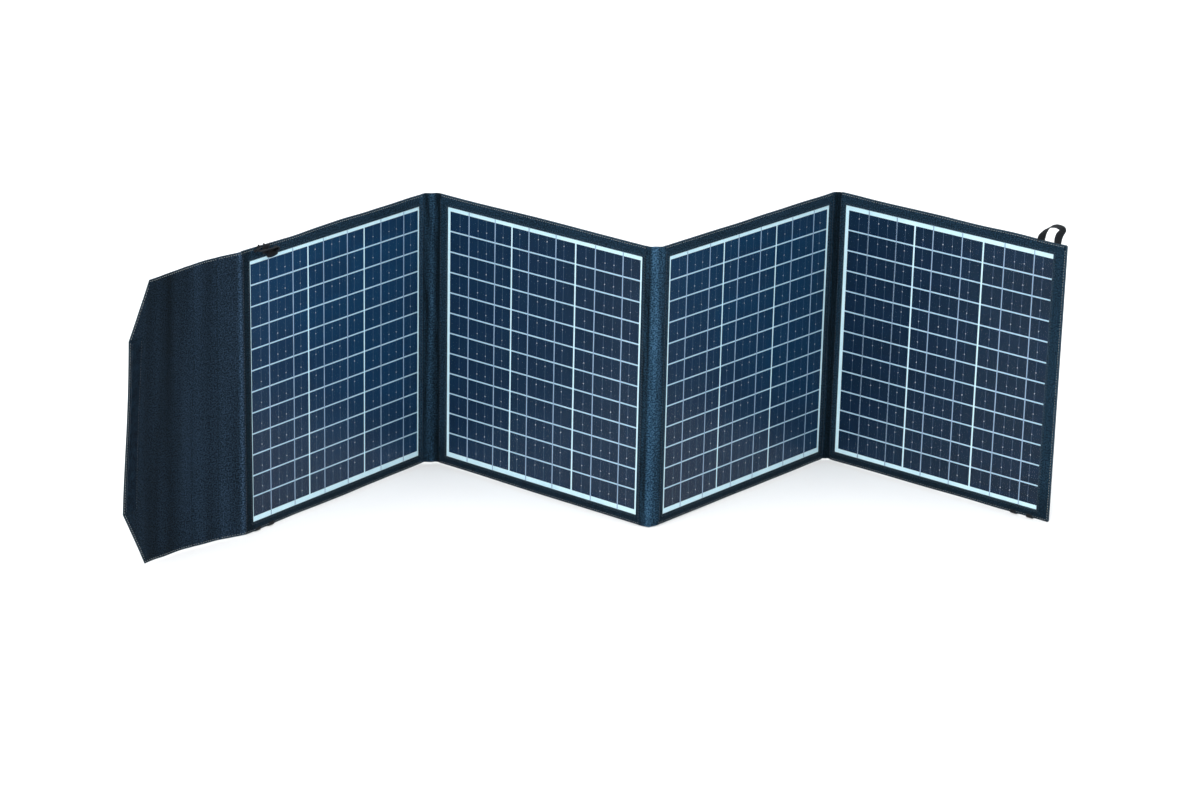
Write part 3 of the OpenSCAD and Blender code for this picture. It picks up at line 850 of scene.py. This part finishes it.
def fold_1_shape(s, z):
    """A vertical crease by the second panel, a slack hollow and short diagonal creases near the ground."""
    up = (z - Z0) / MM
    x = s / MM
    line = 14.6 + 0.9 * np.sin(up / 46 + 0.4)
    out = 0.75 * np.exp(-((x - line) / 0.9) ** 2) * smooth(250, 300, up)
    low = smooth(20, 120, up) * (1 - smooth(170, 250, up))
    out = out + 0.385 * np.exp(-((x - line) / 1.1) ** 2) * low
    out = out + 1.7 * crease(x, up, 10.5, 66, 16.5, 6, 0.9) + 1.4 * crease(x, up, 13.0, 40, 7.0, 2, 0.9)
    out = out + 1.6 * crease(x, up, 13, 381, 9, 312, 1.0) - 0.8 * crease(x, up, 10.5, 372, 6, 290, 1.4)
    return out + 1.5 * np.exp(-((x - 13) / 5.0) ** 2) - 0.5 * np.exp(-((x - 6) / 3.0) ** 2)


def fold_2_shape(s, z):
    """A full rounded ridge with shallow flutes on its sides."""
    up, x = (z - Z0) / MM, s / MM
    out = -(2.0 + 2.4 * (1 - smooth(90, 260, up))) * np.exp(-((x - 8.7) / 4.0) ** 2)
    out = out + 0.35 * np.exp(-((x - 4.2 - 0.5 * np.sin(up / 60)) / 0.9) ** 2)
    out = out + 0.3 * np.exp(-((x - 13.6) / 0.9) ** 2)
    return out + 0.35 * crease(x, up, 12.5, 360, 11.0, 250, 0.8) + 0.4 * crease(x, up, 6, 20, 9, 90, 0.8)


def fold_3_shape(s, z):
    """A tight valley with one deep crease."""
    up, x = (z - Z0) / MM, s / MM
    return 1.2 * np.exp(-((x - 3.7 - 0.35 * np.sin(up / 70)) / 0.9) ** 2)


UNDER = 1.4 * MM                                  # the fold's cloth runs this far under the cover's end
# each fold: width, its left and right hinge lines, shape, (mm from the left line, painted light above 0 and
# painted shade below 0), seed
FOLDS = (
    (20.4 * MM, ("fold_1_outer", "fold_1"), fold_1_shape,
     ((-6, -4, 0, 3, 6, 9, 12, 15, 18, 20, 26),
      (0.2, 0.25, 0.1, -0.25, -0.15, 0.3, 0.35, -0.1, -0.35, -0.5, -0.3)), 101),
    (17.4 * MM, ("fold_2", "fold_2_outer"), fold_2_shape,
     ((-6, -3, -1, 2, 4, 5.5, 7, 9.5, 11.5, 13.5, 16, 20, 24),
      (-0.1, -0.25, 0.0, -0.3, 0.6, 1.2, 0.9, 1.3, 1.1, 0.45, 0.55, 0.0, -0.25)), 111),
    (7.4 * MM, ("fold_3", "fold_3_outer"), fold_3_shape,
     ((-6, -2, 1, 3.2, 3.9, 5, 14), (-0.2, 0.0, -0.2, -1.0, -1.0, -0.6, -0.5)), 121))
fold_pieces = [fold_cloth(n, left) for n in (1, 2, 3) for left in (True, False)]


# ---------------------------------------------------------------- flap and its gusset
ROOT_U = 13 * MM                                  # the gusset's hinge line lies here along the cloth
LONG = 196 * MM
CORNER_L, CORNER_H, CORNER_TOP = 38 * MM, 78 * MM, 70 * MM
flap_band = waves(7, 7, 16 * MM, 52 * MM, across=7)


def flap_painted_light(u):
    """Painted light and shade along the soft flap's length: lighter above 0 where it faces the light, darker
    below 0 where it turns away.
    """
    at = (-2, 0.5, 2.5, 5, 7.5, 10, 14, 30, 40, 50, 56, 64, 76, 88, 104, 120, 140, 165, 196)
    painted_light_shade = (-0.3, 0.0, 1.2, 1.9, 0.9, 0.25, 0.35, 0.55, 0.42, 0.1, 0.15, 0.38, 0.4, 0.25, 0, -0.15, -0.12,
            0.03, 0.05)
    return float(np.interp(u / MM, at, painted_light_shade))


def flap_half(u):
    """Half thickness of the flap at u: as thick as a panel where it is sewn on, then thin."""
    return np.interp(np.asarray(u) / MM, (-2, 1.5, 6, 40, 75, 90), (2.56, 2.56, 1.5, 1.3, 1.1, 1.05)) * MM


def heading(u, v):
    """Heading of the soft flap in degrees at a distance u along it and a share v of its height."""
    yaw = math.degrees(P[0].yaw)
    mm = np.asarray(u) / MM
    low = np.interp(mm, (-20, 0, 6, 14, 36, 60, 90, 150, 210), (yaw, yaw, 35, 31, 34, 38.5, 43.5, 53, 55))
    top = np.interp(mm, (-20, 0, 8, 16, 40, 80, 120, 180, 210), (yaw, yaw, 41, 39, 45, 54.5, 56, 55, 57))
    soft = 3.2 * flap_band(u, np.asarray(v) * 0.38) * smooth(14, 40, mm)
    return low + (top - low) * smooth(0, 1, v) + soft


def flap_sheet():
    """Centre points of the flap over a fine grid of (u, v): u outwards, v up."""
    us = np.arange(-2 * MM, LONG + 0.5 * MM, 1 * MM)
    vs = np.linspace(0, 1, 41)
    U, V = np.meshgrid(us, vs, indexing="ij")
    h = np.radians(heading(U, V))
    step = np.stack([-np.cos(h), -np.sin(h)], -1) * MM
    xy = np.cumsum(step, 0)
    start = P[0].at(ROOT_U - us[0], 0, 0)[:2]
    xy = xy - xy[0] + start
    return us, vs, xy


F_US, F_VS, F_XY = flap_sheet()


def flap_at(u, v):
    """Centre point and outward front normal of the flap."""
    u, v = np.broadcast_arrays(np.asarray(u, float), np.asarray(v, float))
    iu = np.clip((u - F_US[0]) / MM, 0, len(F_US) - 1.001)
    iv = np.clip(v * (len(F_VS) - 1), 0, len(F_VS) - 1.001)
    a, b = iu.astype(int), iv.astype(int)
    fu, fv = (iu - a)[..., None], (iv - b)[..., None]
    xy = (F_XY[a, b] * (1 - fu) * (1 - fv) + F_XY[a + 1, b] * fu * (1 - fv)
          + F_XY[a, b + 1] * (1 - fu) * fv + F_XY[a + 1, b + 1] * fu * fv)
    t = F_XY[np.minimum(a + 1, len(F_US) - 1), b] - F_XY[a, b]
    t = t / np.linalg.norm(t, axis=-1, keepdims=True)
    n = np.stack([-t[..., 1], t[..., 0], np.zeros(t.shape[:-1])], -1)    # towards the viewer's side
    return xy, n


def flap_span(u):
    """Lower and upper edge of the flap at u."""
    past = np.clip((u - (LONG - CORNER_L)) / CORNER_L, 0, 1)
    return Z0 + CORNER_H * past, Z1 - CORNER_TOP * past


def flap_point(u, z, off):
    xy, n = flap_at(u, (z - Z0) / (Z1 - Z0))
    p = np.concatenate([xy, np.asarray(z, float)[..., None]], -1)
    return p + n * np.asarray(off)[..., None]


def flap_edge(u, z):
    """Distance to the flap's free edges."""
    za, zb = flap_span(u)
    slope = math.hypot(CORNER_L, CORNER_H)
    d = np.minimum(z - za, zb - z) * np.where(u > LONG - CORNER_L, CORNER_L / slope, 1.0)
    return np.minimum(d, LONG - u)


def flap_part(name, u0, u1, fine_end=False):
    """The flap's cloth from u0 to u1, with its seams; fine_end adds the free edge and the cut corners."""
    us = np.append(np.arange(u0, u1 - 0.4 * MM, 2.2 * MM), u1)
    if fine_end:
        us = np.concatenate([us[us < LONG - 10 * MM], LONG - np.array(EDGE)[::-1] * MM])
    pucker = waves(81, 10, 6 * MM, 26 * MM)
    loops, uvs, wears, painted_shades = [], [], [], []
    for u in us:
        zs = fine_ends(*flap_span(u), 56)
        d = flap_edge(u, zs)
        t = flap_half(u) * rim(d)
        soft = 0.14 * MM * pucker(np.full(len(zs), u), zs) * smooth(3 * MM, 12 * MM, d)
        ridge = 1.2 * MM * np.exp(-((u / MM - 4.5) / 1.9) ** 2) * smooth(4 * MM, 20 * MM, d)
        z, dd, off = both_faces(zs, zs), both_faces(d, d), both_faces(t + soft + ridge, soft * 0.7 - t)
        wide = np.full(len(z), u)
        loops.append(flap_point(wide, z, off))
        uvs.append(np.stack([-wide, z], -1))
        wears.append(0.75 * np.exp(-(dd / (1.0 * MM)) ** 2))
        # painted light and shade along the flap, from its bends towards and away from the light
        shade = np.full(len(dd), flap_painted_light(u)) + 0.06 * flap_band(wide * 1.7, z * 0.6)
        shade[len(zs):] *= 0.3
        painted_shades.append(shade)
    parts = [loft(loops, uvs, ladder=0)]

    def seam(pu, pz, seed, mat=1):
        pu, pz = np.broadcast_arrays(np.asarray(pu, float), np.asarray(pz, float))
        t = flap_half(pu) * rim(flap_edge(pu, pz))
        _, n = flap_at(pu, (pz - Z0) / (Z1 - Z0))
        for s in (1, -1):
            parts.append(thread_part(flap_point(pu, pz, s * t), s * n, mat=mat, seed=seed))

    a, b = max(u0, 0.0), min(u1, LONG - CORNER_L)
    if b - a > 10 * MM:
        q = np.linspace(a, b, 60)
        seam(q, Z0 + SEAM, 1)
        seam(q, Z1 - SEAM, 2)
    if fine_end:
        q = np.linspace(LONG - CORNER_L, LONG - SEAM, 50)
        grow = SEAM * math.hypot(CORNER_L, CORNER_H) / CORNER_L
        za, zb = flap_span(q)
        seam(q, za + grow, 3)
        seam(q, zb - grow, 4)
        za, zb = flap_span(LONG - SEAM)
        seam(LONG - SEAM, np.linspace(za + grow, zb - grow, 60), 5)
    if u0 < 5 * MM:
        seam(0.4 * MM, np.linspace(Z0 + 3 * MM, Z1 - 3 * MM, 90), 6, mat=2)
    o = piece(name, parts, [FLAP_CLOTH, THREAD, DARK_THREAD], np.concatenate(wears), np.concatenate(painted_shades))
    return o


INNER_END, OUTER_END = 38.6 * MM, 78.6 * MM       # the gusset's two cloths end here along the flap
root, knee = joint_at("gusset_root"), joint_at("flap_root")
gusset_a = flap_part("gusset_cloth_inner", -1.4 * MM, INNER_END)
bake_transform(gusset_a)
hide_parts("flap_gusset")
gusset_b = flap_part("gusset_cloth_outer", INNER_END, OUTER_END)
co = np.array([v.co for v in NODES["flap_cover"].data.vertices], float)
far = co[np.argmax(np.linalg.norm(co[:, :2] - knee[:2], axis=1))]
flap_dir = np.array([far[0] - knee[0], far[1] - knee[1], 0.0])
flap_dir /= np.linalg.norm(flap_dir)
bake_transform(gusset_b)
flap_main = flap_part("flap_cloth", OUTER_END, LONG, fine_end=True)
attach(flap_main, "flap")
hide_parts("flap_cover")


def hook_tape(u0, u1, za, zb):
    """Hook strip sewn on the flap's front, following its surface."""
    us = np.concatenate([[u0, u0 + 0.15 * MM, u0 + 0.5 * MM], np.linspace(u0 + 1.5 * MM, u1 - 1.5 * MM, 9),
                         [u1 - 0.5 * MM, u1 - 0.15 * MM, u1]])
    zs = np.concatenate([[za, za + 0.15 * MM, za + 0.6 * MM], np.linspace(za + 2 * MM, zb - 2 * MM, 70),
                         [zb - 0.6 * MM, zb - 0.15 * MM, zb]])
    nap = waves(91, 14, 2.5 * MM, 9 * MM)
    loops, uvs = [], []
    for u in us:
        d = np.minimum(np.minimum(u - u0, u1 - u), np.minimum(zs - za, zb - zs)) / MM
        t = np.interp(d, (0, 0.15, 0.5, 1.6, 2.4, 3), (0.55, 0.8, 0.95, 0.95, 1.15, 1.25)) * MM
        t = t + 0.05 * MM * nap(np.full(len(zs), u), zs) * smooth(2, 3, d)
        base = flap_half(u) * rim(flap_edge(u, zs))
        z = np.concatenate([zs, zs[::-1]])
        loops.append(flap_point(np.full(len(z), u), z, np.concatenate([base + t, (base - 0.25 * MM)[::-1]])))
        uvs.append(np.stack([np.full(len(z), u), z], -1))
    parts = [loft(loops, uvs, ladder=-1)]
    for pu in (u0 + 1.4 * MM, u1 - 1.4 * MM):
        q, wide = np.linspace(za + 1.5 * MM, zb - 1.5 * MM, 60), np.full(60, pu)
        _, n = flap_at(wide, (q - Z0) / (Z1 - Z0))
        top = flap_half(pu) * rim(flap_edge(pu, q)) + 0.95 * MM
        parts.append(thread_part(flap_point(wide, q, top), n, seed=int(pu * 1e4)))
    return dress(piece("hook_tape", parts, [HOOK, DARK_THREAD]), "flap", "hook_tape", "hook_strip")


hook_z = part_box("hook_strip")
hook = hook_tape(LONG - 23 * MM, LONG - 3 * MM, float(hook_z[0][2]), float(hook_z[1][2]))
for o in (flap_main, hook):
    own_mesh(o)


# ---------------------------------------------------------------- strips, loops and pocket
def loop_tape():
    """The sewn loop strip on the last panel's back."""
    plane = P[3]
    (x0, y0, za), (x1, _, zb) = plane.box("loop_strip")
    rings, uvs = [], []
    nap = waves(5, 12, 2.5 * MM, 9 * MM)
    sizes = [(0, 0.0), (0.0, 0.7), (0.3, 0.95), (1.6, 0.95), (2.4, 1.05)]       # mm inside the edge, height
    sizes += [(t, 1.08) for t in np.linspace(3, (x1 - x0) / 2 / MM - 0.4, 8)]
    for off, t in sizes:
        q = off * MM
        r = ring(x0 + q, x1 - q, za + q, zb - q, [max(1.0 - off * 0.4, 0.1) * MM] * 4, ns=60)
        y = y0 + t * MM + (0.05 * MM * nap(r[:, 0], r[:, 1]) if off > 2 else 0) - (0.15 * MM if t == 0 else 0)
        rings.append(plane.at(r[:, 0], y, r[:, 1])[::-1])
        uvs.append(r[::-1])
    v, f, uv, _, _ = loft(rings, uvs)
    dress(piece("loop_tape", [(v, f, uv, 0, True)], [LOOP]), "panel_4", "loop_tape", "loop_strip")


loop_tape()


def band(name, pts, sides, body, width=10 * MM):
    """Flat webbing along a path: pts its centre line and sides the direction across it."""
    thick = 1.15 * MM
    pts, sides = np.asarray(pts, float), np.asarray(sides, float)
    s = np.concatenate([[0], np.cumsum(np.linalg.norm(np.diff(pts, axis=0), axis=1))])
    q = np.linspace(0, s[-1], 72)
    c, w = smooth_path(pts, s, q), smooth_path(sides, s, q)
    t = np.gradient(c, axis=0)
    t /= np.linalg.norm(t, axis=1, keepdims=True)
    w = w - (w * t).sum(1, keepdims=True) * t
    w /= np.linalg.norm(w, axis=1, keepdims=True)
    n = np.cross(w, t)
    half = width / 2
    sec = [(-1, 0), (-0.985, 0.32), (-0.93, 0.5), (-0.5, 0.5), (0, 0.5), (0.5, 0.5), (0.93, 0.5)]
    sec.append((0.985, 0.32))
    sec += [(-a, -b) for a, b in sec]
    loops, uvs, wears = [], [], []
    for i in range(len(q)):
        loops.append([c[i] + w[i] * half * a + n[i] * thick * b for a, b in sec])
        uvs.append([(q[i], half * a + (0.02 if b < 0 else 0)) for a, b in sec])
        wears.append([0.8 if abs(a) > 0.9 else 0.0 for a, b in sec])
    o = piece(name, [loft(loops, uvs)], [WEBBING, THREAD], np.array(wears).ravel())
    dress(o, body, "webbing", f"web_{body}")


def smooth_path(p, s, q):
    """Points of p resampled along q with a little rounding of the corners."""
    fine = np.linspace(0, s[-1], 400)
    out = np.stack([np.interp(fine, s, p[:, k]) for k in range(3)], -1)
    for _ in range(3):
        pad = np.concatenate([np.repeat(out[:1], 9, 0), out, np.repeat(out[-1:], 9, 0)])
        out = np.stack([np.convolve(pad[:, k], np.ones(19) / 19, "valid") for k in range(3)], -1)
    return np.stack([np.interp(q, fine, out[:, k]) for k in range(3)], -1)


def on(plane, rows):
    return np.array([plane.at(x * MM, y * MM, z * MM) for x, y, z in rows])


def vec(plane, rows):
    z = np.array([0, 0, 1.0])
    return np.array([plane.d * x + plane.b * y + z * w for x, y, w in rows])


top, low = Z1 / MM, Z0 / MM
# upper right: stands up, leans outwards and comes back to the edge, turned half a turn
band("loop_upper_right",
     on(P[3], [(313.5, 0.3, top - 9), (313.5, 0.2, top + 1), (316, 0.4, top + 8), (321, 0.8, top + 15),
               (327.5, 0.8, top + 20), (335, 0.4, top + 22), (344, -0.2, top + 21), (345.6, -0.6, top + 18),
               (341.5, -0.8, top + 13), (339, -0.5, top + 6), (338.3, 0, top), (338.3, 0, top - 9)]),
     vec(P[3], [(1, 0.1, 0), (0.9, 0.45, 0), (0.45, 0.9, 0), (0.1, 1, 0), (-0.2, 1, 0.05), (-0.3, 0.9, 0.15),
                (0.1, 0.95, 0.3), (0.6, 0.75, 0.2), (0.85, 0.5, 0), (0.9, 0.45, 0), (1, 0.1, 0), (1, 0, 0)]),
     "loop_tr")
# upper left: flopped over on the front and twisted, with a bar across and a slack turn below it
band("loop_upper_left",
     on(P[0], [(42, -0.6, top - 5), (42, -1.8, top + 0.3), (38, -4.6, top - 1.0), (32, -6.2, top - 2.6),
               (35, -7.4, top - 3.6), (47, -8.0, top - 4.4), (60, -8.0, top - 5.0), (69, -7.2, top - 5.4),
               (72, -5.8, top - 8.4), (68, -4.9, top - 11.8), (60, -4.5, top - 13.4), (52.5, -4.3, top - 11),
               (51, -3.9, top - 5), (54, -2.7, top - 0.4), (57.5, -1.7, top + 0.3), (57.5, -0.5, top - 5)]),
     vec(P[0], [(1, 0, 0), (0.98, 0.2, 0), (0.7, 0.7, 0), (0.1, 0.95, 0.1), (-0.1, 1, -0.15), (0, 1, -0.25),
                (0, 0.95, -0.3), (0.3, 0.8, -0.4), (0.8, 0.5, -0.3), (0.5, 0.3, 0.8), (0.1, 0.2, 1),
                (-0.7, 0.2, 0.7), (-1, 0.1, 0.1), (-0.95, 0.2, 0), (-1, 0, 0), (-1, 0, 0)]),
     "loop_tl", width=9.5 * MM)
# lower ones: folded under the edge, lying on the floor behind it
for name, k, mid, body in (("loop_lower_left", 0, 47.0, "loop_bl"),
                           ("loop_lower_right", 3, 311.5, "loop_br")):
    a, b = mid - 12.5, mid + 12.5
    half_turn = [(1, 0, 0)] * 4 + [(0.95, -0.3, 0), (0.6, -0.8, 0.1)]
    band(name,
         on(P[k], [(a, -0.6, low + 9), (a, -1.6, low + 2), (a, -1.4, 0.75), (a + 0.3, 3, 0.7),
                   (a + 1.5, 9, 0.8), (a + 5, 15.5, 1.4), (mid, 18.5, 1.9), (b - 5, 15.5, 1.4),
                   (b - 1.5, 9, 0.75), (b - 0.3, 3, 0.7), (b, -1.4, 0.75), (b, -1.6, low + 2),
                   (b, -0.6, low + 9)]),
         vec(P[k], half_turn + [(0, -1, 0.15)] + [(-x, y, z) for x, y, z in reversed(half_turn)]), body)


def slab_cloth(name, x, r, y, body, node, sag=0.0, level=False, seed=3):
    """A sewn cloth panel of the pocket: soft face, rolled edges and a stitched border. It spans x and r,
    with its thickness along y; r is height and y depth, or the other way round if the piece is level."""
    (x0, x1), (ra, rb), (y0, y1) = x, r, y
    soft = waves(seed, 9, 18 * MM, 90 * MM)
    rings, uvs, wears = [], [], []
    half, ym = (y1 - y0) / 2, (y0 + y1) / 2
    lim = min(x1 - x0, rb - ra) / 2 / MM - 0.6
    offs = [o for o in (0, 0.1, 0.4, 1.0, 2.0, 2.6, 3.2, 5, 9, 14, 20, 28, 38, 50, 60) if o < lim] + [lim]

    def belly(off):
        return sag * math.sin(min(off / max(lim, 1), 1) * math.pi / 2)

    def at(q, depth):
        return P[0].at(q[:, 0], q[:, 1], depth) if level else P[0].at(q[:, 0], depth, q[:, 1])

    for off, s in [(o, 1) for o in reversed(offs)] + [(o, -1) for o in offs[1:]]:
        q = off * MM
        r = ring(x0 + q, x1 - q, ra + q, rb - q, [max(2.5 - off * 0.5, 0.05) * MM] * 4, ns=44)
        t = np.interp(off, (0, 0.1, 0.4, 1.0, 2.0, 2.6, 3.2, 5), (0, 0.6, 0.9, 1, 1, 0.8, 1, 1)) * half
        bulge = belly(off) + 0.25 * MM * soft(r[:, 0], r[:, 1]) * float(smooth(2, 12, off))
        rings.append(at(r, ym + s * t + bulge))
        uvs.append(r)
        wears.append(np.full(len(r), 0.6 * math.exp(-(off / 0.7) ** 2)))
    v, f, uv, _, _ = loft(rings, uvs)
    if level:
        f = [tuple(reversed(face)) for face in f]
    parts = [(v, f, uv, 0, True)]
    q = ring(x0 + 3 * MM, x1 - 3 * MM, ra + 3 * MM, rb - 3 * MM, [1.2 * MM] * 4, ns=44)
    q = np.concatenate([q, q[:1]])
    normal = np.array([0, 0, 1.0]) if level else P[0].b
    for side in (1.0, -1.0):
        seam = at(q, ym + side * half + belly(3))
        parts.append(thread_part(seam, np.tile(side * normal, (len(q), 1)), seed=seed))
    return dress(piece(name, parts, [LINING, THREAD], np.concatenate(wears)), body, "canvas", node)


pf_lo, pf_hi = P[0].box("pocket_front")
pocket_front = slab_cloth("pocket_front_cloth", (pf_lo[0] - 0.8 * MM, pf_hi[0] + 0.8 * MM),
                          (pf_lo[2] - 0.8 * MM, pf_hi[2]), (pf_lo[1], pf_hi[1] + 0.2 * MM),
                          "panel_1", "pocket_front", sag=1.6 * MM, seed=31)
lid_lo, lid_hi = P[0].box("pocket_flap")
pocket_lid = slab_cloth("pocket_lid_cloth", (lid_lo[0] - 1 * MM, lid_hi[0] + 1 * MM),
                        (lid_lo[1] - 0.2 * MM, lid_hi[1] + 1 * MM), (lid_lo[2], lid_hi[2]),
                        "pocket_lid", "pocket_flap", level=True, seed=33)


def gusset_band():
    """Side and bottom walls of the pocket as one pleated strip that bows outwards."""
    x0, x1, za, zb = pf_lo[0], pf_hi[0], pf_lo[2], pf_hi[2]
    cut = 4 * MM
    path = np.array([(x0, zb), (x0, za + cut), (x0 + cut, za), (x1 - cut, za), (x1, za + cut), (x1, zb)])
    s = np.concatenate([[0], np.cumsum(np.linalg.norm(np.diff(path, axis=0), axis=1))])
    q = np.linspace(0, s[-1], 150)
    x, z = np.interp(q, s, path[:, 0]), np.interp(q, s, path[:, 1])
    tx, tz = np.gradient(x), np.gradient(z)
    n = np.hypot(tx, tz)
    nx, nz = tz / n, -tx / n
    ys = np.linspace(HALF - 0.3 * MM, pf_lo[1] + 0.6 * MM, 13)
    soft = waves(37, 9, 9 * MM, 40 * MM)
    share = (ys - ys[0]) / (ys[-1] - ys[0])
    arch = np.sin(share * math.pi)
    pleat = 1.2 * MM * arch - 0.8 * MM * np.exp(-((share - 0.5) / 0.12) ** 2)
    loops, uvs = [], []
    for i in range(len(q)):
        bow = pleat + 0.25 * MM * soft(np.full(13, q[i]), ys) * arch
        outer, inner = ([(x[i] - nx[i] * (b + deep), y, z[i] - nz[i] * (b + deep)) for y, b in zip(ys, -bow)]
                        for deep in (0.0, 1.1 * MM))
        loop = outer + inner[::-1]
        loops.append([P[0].at(*pt) for pt in loop])
        uvs.append([(q[i], pt[1]) for pt in loop])
    o = piece("pocket_gusset_cloth", [loft(loops, uvs, ladder=-1)], [LINING, THREAD])
    return dress(o, "panel_1", "canvas", "pocket_gusset")


pocket_side = gusset_band()


# ---------------------------------------------------------------- stage, light and camera
def area_light(name, loc, target, size, energy, color=(1, 1, 1)):
    data = bpy.data.lights.new(name, "AREA")
    data.shape, data.size, data.size_y = "RECTANGLE", size[0], size[1]
    data.energy, data.color = energy, color
    o = bpy.data.objects.new(name, data)
    o.location = loc
    o.rotation_euler = (Vector(target) - Vector(loc)).to_track_quat("-Z", "Y").to_euler()
    scene.collection.objects.link(o)
    return o


floor_mat = Mat("floor", Roughness=0.9)
floor_mat.bsdf.inputs["Base Color"].default_value = (0.93, 0.93, 0.93, 1)
bpy.ops.mesh.primitive_plane_add(size=60, location=(0, 0, -0.0002))
floor = bpy.context.object
floor.name = "floor"
floor.data.materials.append(floor_mat.m)

world = bpy.data.worlds.new("world")
world.use_nodes = True
world.node_tree.nodes["Background"].inputs[0].default_value = (0.95, 0.98, 1.0, 1)
world.node_tree.nodes["Background"].inputs[1].default_value = 0.45
scene.world = world
area_light("key", (-0.9, -4.0, 2.5), (0, 0, 0.2), (1.8, 1.2), 150, (1.0, 0.99, 0.98))
area_light("top", (0, -1.2, 3.6), (0, -0.6, 0), (8, 4), 180, (0.97, 0.99, 1.0))
area_light("background", (0, 7.5, 4.5), (0, 7.5, 0), (20, 12), 950, (0.97, 0.99, 1.0))
scene.view_settings.view_transform = "Standard"

cam_data = bpy.data.cameras.new("camera")
cam_data.sensor_width = 36
cam_data.lens = 105.25
cam_data.clip_start, cam_data.clip_end = 0.05, 60
camera = bpy.data.objects.new("camera", cam_data)
pitch, roll = math.radians(19.891), math.radians(1.270)
fwd = np.array([0, math.cos(pitch), -math.sin(pitch)])
up = np.array([0, math.sin(pitch), math.cos(pitch)])
right = np.array([1.0, 0, 0])
r_axis = right * math.cos(roll) + up * math.sin(roll)
u_axis = -right * math.sin(roll) + up * math.cos(roll)
place = np.array([-0.00452, -4.25475, 1.70377])
camera.matrix_world = Matrix([[*(r_axis[i], u_axis[i], -fwd[i]), place[i]] for i in range(3)] + [[0, 0, 0, 1]])
scene.collection.objects.link(camera)
scene.camera = camera
